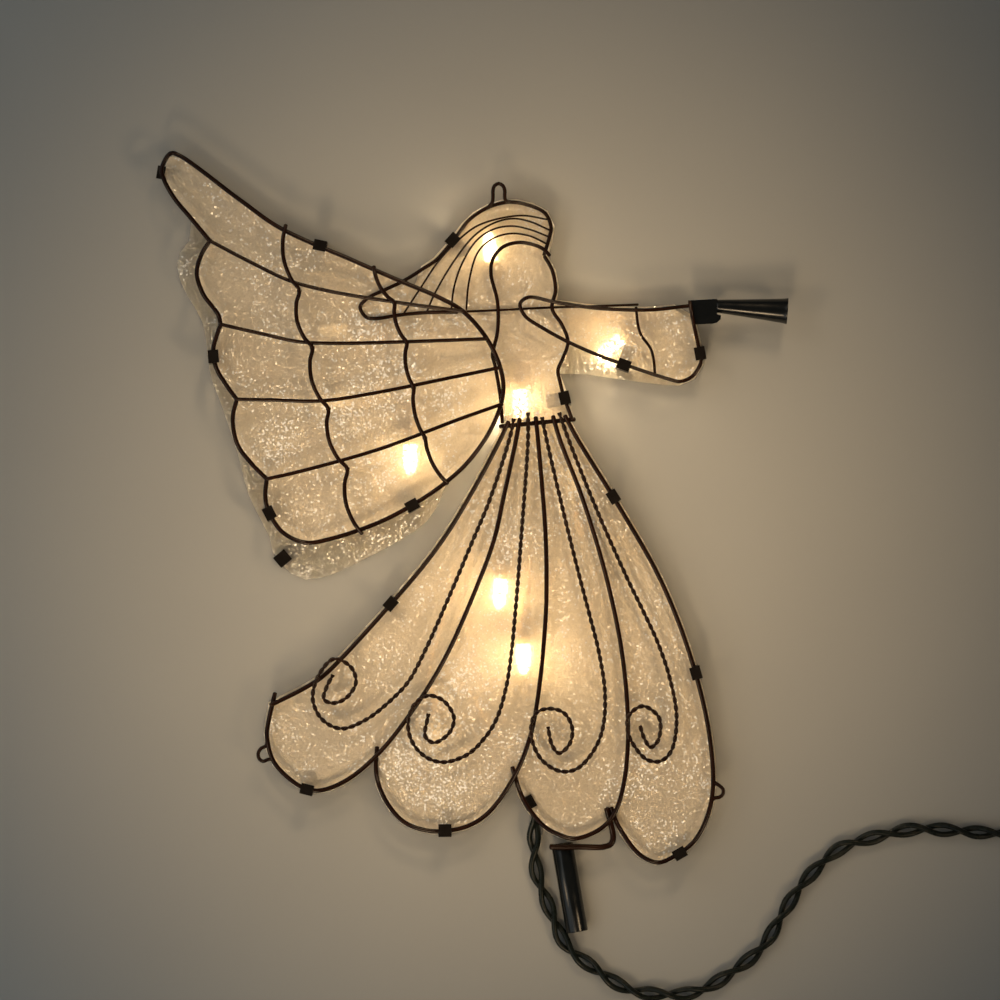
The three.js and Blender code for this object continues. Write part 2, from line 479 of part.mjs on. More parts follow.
// The body's edge runs clockwise: up the wing's side, over the hair, down the face, round the sleeve and the skirt
const bodyEdges = (free, shared, underSleeve) => [
  edge([[2, 230], [1.6, 236], ...back(WING_INNER.slice(0, 4))], shared),
  edge(back(WING_TOP.slice(5)), shared),
  edge(back(HAIR_CROWN).slice(1), free),
  edge([...FACE_FRONT.slice(0, 3), SLEEVE_TOP.at(-1)], free),
  edge(back(SLEEVE_TOP), free),
  ...underSleeve.map((points) => edge(points, free)),
  edge([[26.4, 232.6], ...chained(FOLD_SHAFTS[3], FOLD_SCALLOPS[3]).slice(1, -1)], free),
  edge(FOLD_SCALLOPS[2].slice(0, -1), free),
  edge(FOLD_SCALLOPS[1].slice(0, -1), free),
  edge(FOLD_SCALLOPS[0].slice(0, -1), free),
  edge(back(SKIRT_LEFT), free),
];
const wingEdges = (margin) => [
  edge(chained(WING_TIP, WING_TOP), margin),
  edge(chained(WING_INNER, WING_BOTTOM), margin),
  edge(back(FEATHER_4), margin),
  edge(back(FEATHER_3), margin),
  edge(back(FEATHER_2), margin),
];
const frontUnderSleeve = [back(SLEEVE_END.slice(0, -1)), FACE_FRONT.slice(5)];
const backUnderSleeve = [[...back(SLEEVE_END.slice(4, -1)), ...SLEEVE_BACK_EDGE], FACE_FRONT.slice(7)];
const wingBackEdges = [
  edge(chained(WING_TIP.slice(1), WING_TOP), -FILM_INSET),
  edge(WING_INNER, -FILM_INSET),
  edge([WING_INNER.at(-1), ...WING_BACK_EDGE], 0),
];
const film = (edges, z) => plate(outline(edges), z, FILM);
add("wing_front_film", film(wingEdges(-FILM_INSET), FRONT_FILM_Z), FILM_FINISH);
add("wing_back_film", cut(film(wingBackEdges, BACK_FILM_Z), CLIP_SLOTS), FILM_FINISH);
add("body_front_film", film(bodyEdges(-FILM_INSET, -FILM_INSET, frontUnderSleeve), FRONT_FILM_Z), FILM_FINISH);
add("body_back_film", cut(
  film(bodyEdges(BACK_MARGIN, -FILM_INSET, backUnderSleeve), BACK_FILM_Z), CLIP_SLOTS), FILM_FINISH);

// Lamps in their holders, and the wiring that joins the holders
const HOLDER_BORE = LAMP_BASE + 2 * SOCKET_CLEARANCE;
const HOLDER_DEPTH = LAMP_BASE_LENGTH + SOCKET_CLEARANCE;
const HOLDER_PROFILE = [
  [0, -HOLDER_LENGTH], [HOLDER_TAIL / 2, -HOLDER_LENGTH], [HOLDER_DIAMETER / 2, -HOLDER_DEPTH - FILM],
  [HOLDER_DIAMETER / 2, 0], [HOLDER_BORE / 2, 0], [HOLDER_BORE / 2, -HOLDER_DEPTH], [0, -HOLDER_DEPTH],
];
const LAMP_PROFILE = [
  [0, -LAMP_BASE_LENGTH], [LAMP_BASE / 2, -LAMP_BASE_LENGTH], [LAMP_BASE / 2, GAP], [LAMP_GLASS / 2, GAP],
  [LAMP_GLASS / 2, LAMP_GLASS_LENGTH * 0.7], [LAMP_GLASS * 0.32, LAMP_GLASS_LENGTH * 0.92], [0, LAMP_GLASS_LENGTH],
];
const onLamp = ({ mouth, points }, geometry) =>
  geometry.rotateZ(radians(points - 90)).translate(...plan(mouth), LAMP_Z);
const tailOf = ({ mouth, points }) => {
  const reach = HOLDER_LENGTH - STRING_WIRE;
  const [x, y] = plan(mouth);
  return [x - reach * Math.cos(radians(points)), y - reach * Math.sin(radians(points))];
};
const stringWire = (from, by, to) => tube(curveThrough([from, ...plan(by), to], LAMP_Z), STRING_WIRE, 8);
const stringExit = plan(STRING_EXIT);
add("light_string", joined([
  ...LAMPS.map((lamp) => onLamp(lamp, lathe(HOLDER_PROFILE, LAMP_SIDES))),
  ...WIRING.map(({ from, to, by }) => stringWire(tailOf(LAMPS[from]), by, tailOf(LAMPS[to]))),
  stringWire(tailOf(LAMPS[9]), STRING_EXIT_BY, stringExit),
]), GREEN);
LAMPS.forEach((lamp, i) =>
  add(`bulb_${String(i + 1).padStart(2, "0")}`, onLamp(lamp, lathe(LAMP_PROFILE, LAMP_SIDES)), LAMP_FINISH));

// Lead: from the wiring's end, over the back film's edge and along the table to the coil
const LEAD_STEP = 2.5 * CORD;
const LEAD_SIDES = 8;
const route = plan(LEAD_ROUTE);
const coilStart = plan(COIL_START);
const leadPoints = [
  [stringExit[0] + GAP, stringExit[1] - STRING_WIRE - GAP, LAMP_Z - LEAD_Z],
  [...route[0], LAMP_Z - LEAD_Z],
  ...route.slice(1),
  [coilStart[0] - CORD, coilStart[1], COIL_Z - LEAD_Z],
  [coilStart[0] - GAP, coilStart[1], COIL_Z - LEAD_Z],
];
const lead = add("cord_lead", tube(curveThrough(leadPoints, LEAD_Z), CORD, LEAD_STEP, LEAD_SIDES), GREEN);

// Coil: it spirals in on the lower layer, climbs in the half turn where it reverses, and spirals out on the upper one
const LOOP_STEPS = 24;
const LOOP_SIDES = 6;
function coilPoint(turn) {
  const radius = COIL_RADIUS - COIL_PITCH * Math.min(turn, COIL_TURNS - turn);
  const climbed = THREE.MathUtils.clamp((turn - COIL_TURNS / 2) * 2 + 0.5, 0, 1);
  const angle = 2 * Math.PI * turn - Math.PI / 2;
  return new THREE.Vector3(
    coilStart[0] + radius * Math.cos(angle),
    coilStart[1] + COIL_RADIUS + radius * Math.sin(angle),
    COIL_Z + climbed * COIL_LAYER,
  );
}
class CoilCurve extends THREE.Curve {
  getPoint(t, target = new THREE.Vector3()) {
    const wound = 2 * Math.PI * (COIL_RADIUS - (COIL_PITCH * COIL_TURNS) / 4) * COIL_TURNS;
    const share = wound / (wound + COIL_TAIL);
    if (t <= share) return target.copy(coilPoint((t / share) * COIL_TURNS));
    const along = ((t - share) / (1 - share)) * COIL_TAIL;
    return target.copy(coilPoint(COIL_TURNS)).add(new THREE.Vector3(along, 0, 0));
  }
}
const coilCurve = new CoilCurve();
coilCurve.arcLengthDivisions = 600;
const coilStep = coilCurve.getLength() / Math.round(LOOP_STEPS * (COIL_TURNS + 0.2));
const coil = add("cord_coil", tube(coilCurve, CORD, coilStep, LOOP_SIDES), GREEN);

// The coil's least gap to itself, between points that are more than a quarter turn apart along it
const coilPoints = coilCurve.getSpacedPoints(900);
const apart = Math.round((900 * 0.25) / COIL_TURNS);
let leastGap = Infinity;
coilPoints.forEach((a, i) => {
  for (let k = i + apart; k < coilPoints.length; k++) leastGap = Math.min(leastGap, a.distanceTo(coilPoints[k]) - CORD);
});
console.log(`coil: least gap to itself ${leastGap.toFixed(2)} mm, length ${coilCurve.getLength().toFixed(0)} mm`);

// Tie: a flat band round the coil's right-hand side
const tieInner = COIL_RADIUS - COIL_PITCH * (COIL_TURNS / 2) - CORD / 2 - GAP;
const tieOuter = COIL_RADIUS + CORD / 2 + GAP;
const rectangle = (x0, y0, x1, y1) =>
  [[x0, y0], [x1, y0], [x1, y1], [x0, y1]].map(([x, y]) => new THREE.Vector2(x, y));
const bandTop = COIL_Z + COIL_LAYER + CORD / 2 + GAP;
const band = new THREE.Shape(
  rectangle(tieInner - TIE_SHEET, 0, tieOuter + TIE_SHEET, bandTop + TIE_SHEET));
band.holes.push(new THREE.Path(rectangle(tieInner, TIE_SHEET, tieOuter, bandTop)));
const tie = add("coil_tie", new THREE.ExtrudeGeometry(band, { depth: TIE_WIDTH, bevelEnabled: false })
  .translate(0, 0, -TIE_WIDTH / 2).rotateX(Math.PI / 2), TIE_FINISH);
tie.position.set(coilStart[0], coilStart[1] + COIL_RADIUS, 0);

// Plug: a body with a T-shaped track, the fuse door in it, and two blades. Its local x is the way that it plugs in.
const plug = new THREE.Group();
plug.position.set(coilStart[0] + COIL_TAIL + GAP, coilStart[1], PLUG_Z);
group.add(plug);
const box = (x, y, z, at) => new THREE.BoxGeometry(x, y, z).translate(...at);
// The door's T-shaped section, drawn in y and z below the plug's top and run along x
function track(from, length, clearance) {
  const wide = DOOR.width / 2 + clearance;
  const neck = DOOR.neck / 2 + clearance;
  const low = PLUG_HEIGHT / 2 - DOOR.sheet - clearance;
  const lip = PLUG_HEIGHT / 2 - DOOR.sheet + DOOR.lip + clearance;
  const high = PLUG_HEIGHT / 2 + (clearance ? GAP : 0);
  const corners = [[-wide, low], [wide, low], [wide, lip], [neck, lip], [neck, high], [-neck, high], [-neck, lip],
    [-wide, lip]];
  return new THREE.ExtrudeGeometry(
    new THREE.Shape(corners.map(([y, z]) => new THREE.Vector2(y, z))), { depth: length, bevelEnabled: false },
  ).rotateX(Math.PI / 2).rotateZ(Math.PI / 2).translate(from, 0, 0);
}
const doorFrom = PLUG_LENGTH - DOOR.length;
const bladePlaces = [-1, 1].map((side) => (side * BLADE.spacing) / 2);
const seats = bladePlaces.map((y) => box(BLADE.seat + GAP, BLADE.sheet + 2 * GAP, BLADE.width + 2 * GAP,
  [PLUG_LENGTH - (BLADE.seat - GAP) / 2, y, -DOOR.sheet / 2]));
add("plug_body", cut(
  box(PLUG_LENGTH, PLUG_WIDTH, PLUG_HEIGHT, [PLUG_LENGTH / 2, 0, 0]),
  [track(doorFrom - SOCKET_CLEARANCE, DOOR.length + SOCKET_CLEARANCE + GAP, SOCKET_CLEARANCE), ...seats],
), GREEN, plug);
add("plug_fuse_door", track(doorFrom, DOOR.length, 0), GREEN, plug);
bladePlaces.forEach((y, i) => add(`plug_blade_${i + 1}`, box(BLADE.length + BLADE.seat - GAP, BLADE.sheet, BLADE.width,
  [PLUG_LENGTH - BLADE.seat + GAP + (BLADE.length + BLADE.seat - GAP) / 2, y, -DOOR.sheet / 2]), BRASS, plug));

// The origin is under the middle of the object, without its lead
group.updateMatrixWorld(true);
const onCord = new Set([lead, coil, tie, ...plug.children]);
const bounds = new THREE.Box3();
group.traverse((node) => {
  if (node.isMesh && !onCord.has(node)) bounds.expandByObject(node, true);
});
const middle = bounds.getCenter(new THREE.Vector3());
group.position.set(-middle.x, -middle.y, -bounds.min.z);
const size = bounds.getSize(new THREE.Vector3());
console.log(`object: ${size.x.toFixed(1)} x ${size.y.toFixed(1)} x ${size.z.toFixed(1)} mm, moved by`,
  group.position.toArray().map((v) => v.toFixed(2)).join(", "),
  `lead ${curveThrough(leadPoints, LEAD_Z).getLength().toFixed(0)} mm`);

export default group;
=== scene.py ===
"""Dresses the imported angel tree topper: round wires, twisted scrolls, glitter film, lit lamps and a lead."""

import math

import bpy
from mathutils import Matrix, Vector


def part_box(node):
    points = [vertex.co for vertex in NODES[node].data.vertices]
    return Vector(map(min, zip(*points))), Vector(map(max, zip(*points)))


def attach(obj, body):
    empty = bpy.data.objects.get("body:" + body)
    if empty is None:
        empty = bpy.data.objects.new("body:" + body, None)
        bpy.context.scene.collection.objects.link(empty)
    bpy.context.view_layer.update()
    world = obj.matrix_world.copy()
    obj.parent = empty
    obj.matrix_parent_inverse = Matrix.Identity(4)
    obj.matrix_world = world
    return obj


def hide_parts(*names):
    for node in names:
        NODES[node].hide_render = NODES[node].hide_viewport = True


bl_info = {
    "name": "Lighted angel tree topper",
    "version": (1, 0, 0),
    "blender": (4, 5, 0),
    "location": "View3D > Sidebar > Topper",
    "description": "Makes the visible pieces of a wire angel with glitter film and small lamps",
    "category": "Object",
}

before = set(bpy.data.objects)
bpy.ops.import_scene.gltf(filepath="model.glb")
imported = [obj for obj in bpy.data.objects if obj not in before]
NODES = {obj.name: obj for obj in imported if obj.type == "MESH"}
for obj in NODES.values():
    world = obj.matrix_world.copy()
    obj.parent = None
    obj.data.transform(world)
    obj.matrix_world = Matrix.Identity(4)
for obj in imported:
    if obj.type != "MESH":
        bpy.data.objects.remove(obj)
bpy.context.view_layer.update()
BODY = "topper"
MM = 0.001
SHIFT = (11.14, -182.75)  # from the drawing's origin to the frame's, in millimetres

# Levels of the wires' centre lines over the table, in millimetres
HAIR_Z = 9.95
STRAND_Z = 10.9
LOOP_Z = 11.2
SHOULDER_Z = 10.2
BRACKET_Z = 10.4
WAIST_Z = 10.7
FOLD_Z = 12.8
SLEEVE_Z = 14.6
CUFF_Z = 13.45
WING_Z = 14.75
RIB_Z = 16.75
CROSS_RISE = 1.4
SCROLL_LOW_Z = 12.85
SCROLL_Z = 14.95
LAMP_Z = 5.0
TUBE_Z = 4.5
LEAD_Z = 2.6
COIL_Z = 3.2
COIL_LAYER = 5.1
DIP = -2.1

# The plan of the wires, in millimetres, as in the part's source. A third number is a lift from the level.
CUSPS = ((-116, 303.6), (-111.6, 270.2), (-105.2, 240.2), (-93.2, 208.4))
WING_MAIN = (
    CUSPS[0], (-124, 313.2), (-130, 320.4), (-134.2, 327.8), (-135.2, 332.4), (-131.6, 338.6), (-128, 337.6),
    (-104, 320), (-88, 308.8), (-58.4, 295.6), (-40, 287.6), (-24, 280.8), (-14.8, 275.4), (-5.2, 264.4),
    (0.4, 252), (1.2, 242), (-3.6, 228.4), (-12.8, 215.2), (-21.2, 207.4), (-32, 199.8), (-48, 191.2),
    (-68, 184.4), (-78, 183), (-87.2, 187.4), (-92.8, 196.4), (-93.8, 202), CUSPS[3],
)
FEATHERS = (
    (CUSPS[0], (-119.4, 298), (-121.2, 290.8), (-118.8, 282.6), (-112.6, 274), CUSPS[1]),
    (CUSPS[1], (-113.4, 265.2), (-114.6, 260), (-113.4, 252.8), (-109.4, 246), CUSPS[2]),
    (CUSPS[2], (-106.8, 233), (-105, 222.4), (-99.2, 214.4), CUSPS[3]),
)
RIBS = (
    (CUSPS[0], (-100, 295.2), (-84, 287.6), (-68, 283.4), (-40, 278.8), (-14.8, 275.4)),
    (CUSPS[1], (-96, 266.6), (-80, 263.2), (-64, 262.6), (-38.4, 263.2), (-5.2, 264.4)),
    (CUSPS[2], (-92, 240), (-71.6, 239.6), (-52, 242.4), (-20, 248.8), (0.4, 253)),
    (CUSPS[3], (-80, 211.4), (-48, 220.4), (-16, 232.4), (1, 238.4)),
)
CROSS_WIRES = (
    (3.5, ((-85.6, 309.8), (-80.2, 283.6), (-75, 260.8), (-68.6, 236.4), (-61, 212.4), (-55.2, 186.6))),
    (1.8, ((-50.4, 293.2), (-42.2, 278.8), (-37.2, 262.8), (-34.5, 244.8), (-30, 224.8), (-21, 206.6))),
)
HAIR = (
    (17.6, 298), (20, 306), (20.4, 309.6), (18, 314.8), (12, 317.8), (4, 319.2), (-4, 317.4), (-12, 312.4),
    (-18, 304.8), (-25.6, 296), (-30.4, 292.8), (-38.4, 287.8), (-46.8, 283.8), (-53.2, 280.6), (-56, 277.2),
    (-53.6, 273.2), (-50.8, 272.6), (-38.8, 274.2), (-29.6, 275), (-17.2, 275.2),
)
STRANDS = (
    ((19.2, 312.2), (8, 313.8), (-8, 310.2), (-16, 304.6), (-24.4, 295.8), (-31.8, 284.8), (-38.8, 274.2)),
    ((19.8, 308), (12, 311.4), (5.2, 312.6), (-2, 311), (-10, 306), (-18.4, 295.6), (-26.2, 282.4),
     (-29.4, 275)),
    ((19.8, 305.2), (12, 308.2), (4.8, 309.6), (-2.4, 308.4), (-9.2, 304), (-15, 295), (-18.4, 285),
     (-19.6, 275.2)),
    ((18.8, 302.4), (12, 305.6), (4, 306.6), (-3.2, 304.4), (-8.8, 299.2), (-12.4, 287.4), (-13.5, 276.2)),
)
HANGING_LOOP = (
    (-4.6, 317.2), (-3.1, 319), (-2.8, 321.4), (-2.8, 323.9), (-2.2, 325.7), (-0.5, 326.6), (1.2, 325.7),
    (1.9, 323.9), (1.9, 321.4), (2.3, 319.8), (4.4, 319.2),
)
SHOULDER = ((-16.5, 275.3), (0, 276), (20, 277), (40, 277.6), (55.2, 278.2))
FACE_BACK = (
    (19.8, 297.8), (18.2, 299.6), (15.6, 301.3), (8, 303), (1.2, 301.2), (-2.8, 296.4), (-3.6, 290.4),
    (-1, 279.2), (-1, 267.2), (-3, 258), (-2, 253.8), (0.2, 240.8), (0.9, 231),
)
FACE_FRONT = (
    (17.8, 297.4), (20.8, 292), (22.2, 284), (20.8, 276.6), (24.8, 270), (27.2, 263.2), (25.2, 256.8),
    (23.2, 252), (24, 247.2), (25.7, 240.8), (28.7, 232.6),
)
SLEEVE = (
    (75.4, 277.6), (60, 276), (46, 276.2), (34, 277.2), (21.6, 279.2), (11.2, 281), (8, 278.4), (10, 273.6),
    (18, 268.2), (27.2, 263.2), (40, 257.6), (49.6, 254.2), (68, 248.2), (72, 247.4), (76.8, 249.4),
    (80.4, 255.6), (79.2, 262), (77, 272.5), (75.8, 279.2, 2.2),
)
CUFF = ((54.4, 277), (55.2, 270), (56.4, 266), (60.2, 260.6), (61.4, 256.4), (62, 250))
WAIST = ((0, 229.4), (29.8, 232.3))
SKIRT_LEFT = (
    (3.3, 231.2), (0, 224), (-8, 208.8), (-20, 188.4), (-28.8, 176), (-43.6, 158.4), (-64, 136),
    (-71.2, 129.2), (-78.8, 124.4), (-91.6, 118),
)
FOLDS = {
    "skirt_fold_1": (
        (7.9, 232.4), (6.4, 224), (1.2, 200), (-2.4, 184), (-10.8, 161.6), (-22, 136.8), (-34, 117.2),
        (-48.6, 98.6), (-62, 87.6), (-72.8, 83.8), (-80, 85.6), (-90.4, 95.2), (-93.2, 106),
        (-92.4, 112.4, DIP / 2), (-91, 118.6, DIP), (-90, 122.6, DIP),
    ),
    "skirt_fold_2": (
        (14.3, 233), (15.2, 224), (18, 190), (18.6, 172), (18.2, 152), (15, 120), (12, 105.2), (6.4, 90.8),
        (-4, 75.6), (-12, 70), (-22, 67.6), (-30, 68), (-38, 71), (-44, 77.2), (-48, 84.8), (-49.6, 92, DIP),
        (-49.2, 101, DIP),
    ),
    "skirt_fold_3": (
        (21.2, 233.4), (24, 224), (33.2, 200), (42.8, 168), (49.2, 136), (51.2, 106), (49.4, 86), (45.6, 74.4),
        (40, 68.4), (30, 64.6), (23.2, 66.4), (17.6, 69.6), (12, 76), (8.6, 82), (6.4, 88, DIP), (5, 93, DIP),
    ),
    "skirt_right_wire": (
        (26, 233.6), (31.2, 224), (46, 200), (64.2, 168), (76.6, 136), (84, 104), (84.6, 80), (78, 64),
        (68.4, 56.8), (63.2, 55), (58, 56.8), (54, 60), (48.6, 67.6), (46.4, 71.6, DIP), (44.6, 76.8, DIP),
    ),
}
EYELETS = {
    "skirt_fold_1": (
        (-93, 104), (-93.6, 101.6), (-95.4, 100.8), (-96.7, 98.6), (-96.2, 96.4), (-94.7, 95.5), (-92.8, 96.2),
        (-90.6, 96.4),
    ),
    "skirt_right_wire": (
        (85, 88.2), (85.9, 87), (87.7, 85.8), (89.2, 84.3), (89.1, 82.3), (87.7, 81.1), (85.8, 80.8),
        (84.4, 79.6),
    ),
}
SCROLLS = (
    ((5.5, 232.4), (4, 225.2), (-4, 200.4), (-10.8, 184), (-20.4, 161.2), (-30.8, 138), (-36.8, 127.2),
     (-44, 119.6), (-53.6, 112.2), (-63.6, 108.6), (-71.2, 112.4), (-74.8, 120), (-73.2, 128.4),
     (-66.6, 136.4), (-59.6, 133.2), (-57.6, 127), (-61.6, 120.8), (-66.8, 118.8), (-70.4, 120.4),
     (-69.4, 125), (-66.8, 130)),
    ((11.2, 234.8), (11.2, 224), (8.4, 184), (7.2, 168), (4.4, 137.6), (2.2, 124), (-1.6, 112), (-6.4, 104.6),
     (-12.8, 98.4), (-22.4, 95.2), (-29.2, 97), (-34.6, 102.4), (-36.8, 110), (-34.4, 118), (-28.8, 121.8),
     (-22.4, 119.6), (-18.4, 112.8), (-20.4, 106.8), (-26.4, 103), (-29.8, 105.4), (-28.6, 114.4)),
    ((16.8, 233), (18.4, 225.2), (24.4, 199.2), (31.2, 171.6), (35.6, 154.8), (39.6, 138.8), (42, 122),
     (40.8, 107.6), (36.8, 98.8), (30.4, 92.4), (24, 91.6), (17.2, 95.6), (13.4, 102), (12.4, 108.8),
     (14.4, 114.8), (20, 116.6), (25.6, 114.8), (28.8, 109.2), (28, 102.8), (23.6, 98.8), (20.8, 102),
     (19.2, 109.2)),
    ((23.7, 234.8), (26.6, 226.4), (38.2, 197.2), (50.6, 169.2), (58, 154), (62.8, 143.6), (67.4, 130.4),
     (70.6, 113), (68.4, 99.6), (64, 95.6), (58.8, 96.2), (54, 101.2), (51.2, 107), (51.4, 113.6), (57, 117.6),
     (63.2, 113.6), (64.2, 108.8), (62.8, 103.2), (60.2, 101.2), (57.8, 104.4), (56, 109.6)),
)
SCROLL_RISE = 6  # points over which a scroll climbs from the waist
BRACKET = ((20.4, 61.2), (32, 61.2), (41.5, 61.2), (44.5, 62.4), (45.3, 65.2), (44.4, 70), (42.8, 76.4))
TUBE_TOP = (24.8, 62.4)
TUBE_TILT = 9.8
HORN_THROAT = (87.2, 277.54, 11.375)
HORN_TILT = -4.1
# Each lamp: its holder's mouth, and the way that it points in degrees
LAMPS = (
    (-3.1, 292, 96), (52, 266.4, 215), (-57.6, 268, 180), (-57, 241.4, 190), (-36, 226, -90), (8, 248, -90),
    (31.4, 199, 100), (0.8, 172, -95), (9.4, 146, -90), (-27.4, 114, -80),
)
SOFT_LAMPS = (0, 1, 4)
DIM_LAMPS = (2, 3, 6, 9)
# Where the film's flakes gather, as clusters of painted glints
PAINTED_GLINT_SPOTS = (
    (-53, 269), (-49, 242), (-40, 250), (-45, 214), (-88, 222), (31, 203), (24, 214), (-30, 110), (-17, 128),
    (-38, 96), (-24, 84), (2, 184), (45, 262), (7, 236), (-22, 240), (-62, 232), (56, 92),
)
# Each run of the wiring: two lamps by their places in the list, and the points between their holders
WIRING = (
    (9, 7, ((-27, 140), (-16, 172), (-5, 191))),
    (7, 8, ((8, 189), (12, 178))),
    (8, 6, ((14, 168), (24, 172))),
    (6, 5, ((26, 188), (21, 204), (19, 222), (16, 240), (15, 256))),
    (5, 1, ((14, 269), (26, 272), (42, 273.4), (52, 273.8))),
    (5, 0, ((4, 268),)),
    (0, 2, ((-6, 270), (-20, 268))),
    (2, 3, ((-36, 262), (-36, 250))),
    (3, 4, ((-38, 245),)),
)
STRING_EXIT = (12.4, 82)
STRING_EXIT_BY = ((-18, 128), (-2, 104))
LEAD = (
    (12.7, 79.7, 2.4), (13.6, 75.6, 2.4), (13.6, 62.8), (14.8, 50), (19.4, 37.2), (22.4, 29.4), (27, 20.8),
    (36.4, 13.2), (52, 3.6), (62, 2), (78.8, 2.8), (92, 10), (105.2, 20.8), (112.8, 33.2), (121.2, 46),
    (136, 60), (147.2, 64), (166, 68), (180, 67.6), (194, 66.6), (210, 66), (236.4, 66, 0.6), (240.7, 66, 0.6),
)
COIL_START = (241.0, 66.0)
COIL_RADIUS = 30.0
COIL_TURNS = 5
COIL_PITCH = 5.2
COIL_TAIL = 36
CORD_DIAMETER = 4.6


def point(x, y, z):
    """A point of the drawing as one of the frame, in metres."""
    return Vector(((x + SHIFT[0]) * MM, (y + SHIFT[1]) * MM, z * MM))


def lifted(points, level):
    """Drawn points, with their lifts, as points of the frame."""
    return [point(p[0], p[1], level + (p[2] if len(p) > 2 else 0.0)) for p in points]


# Curves and tubes

DOME = (22, 50, 80)  # leans of the rings that close a bar's end, in degrees
DOME_REACH = 0.6  # how far that end stands out, in radii
BEAD_RINGS = (-80, -52, -24, 0, 24, 52, 80)  # latitudes of a weld bead's rings, in degrees
BEAD_SIDES = 12
BEAD_FLAT = 0.75  # a bead's height, in widths
EDGE_ANGLE = 35  # edges sharper than this are rounded, in degrees


def clamped(value):
    """A number held between 0 and 1."""
    return min(1.0, max(0.0, value))


def angles(sides):
    """Equal steps round a circle."""
    return [2 * math.pi * k / sides for k in range(sides)]


def pointing(place, way):
    """The placing of a turned form in millimetres, whose axis points a way in the plan, in degrees."""
    turn = Matrix.Rotation(math.radians(way), 4, "Z") @ Matrix.Rotation(math.pi / 2, 4, "Y")
    return Matrix.Translation(place) @ turn @ Matrix.Scale(MM, 4)


def spun(place, radius, height, angle):
    """A point of a turned form."""
    return place @ Vector((radius * math.cos(angle), radius * math.sin(angle), height))


def spline(points, step):
    """A centripetal curve through the points, in short steps."""
    ends = [2 * points[0] - points[1], *points, 2 * points[-1] - points[-2]]
    line = []
    for p0, p1, p2, p3 in zip(ends, ends[1:], ends[2:], ends[3:]):
        t0, t1, t2 = (math.sqrt(max((b - a).length, 1e-9)) for a, b in ((p0, p1), (p1, p2), (p2, p3)))
        leave = ((p1 - p0) / t0 - (p2 - p0) / (t0 + t1) + (p2 - p1) / t1) * t1
        arrive = ((p2 - p1) / t1 - (p3 - p1) / (t1 + t2) + (p3 - p2) / t2) * t1
        count = max(1, math.ceil((p2 - p1).length / step))
        for k in range(count):
            t = k / count
            bend = (-3 * p1 + 3 * p2 - 2 * leave - arrive) * t * t
            line.append(p1 + leave * t + bend + (2 * p1 - 2 * p2 + leave + arrive) * t ** 3)
    line.append(points[-1].copy())
    return line


def frames_along(line):
    """For each point of a line, its way forward, the level direction across it and the one that rises."""
    made = []
    for i in range(len(line)):
        forward = (line[min(i + 1, len(line) - 1)] - line[max(i - 1, 0)]).normalized()
        across = Vector((0, 0, 1)).cross(forward).normalized()
        made.append((forward, across, forward.cross(across)))
    return made


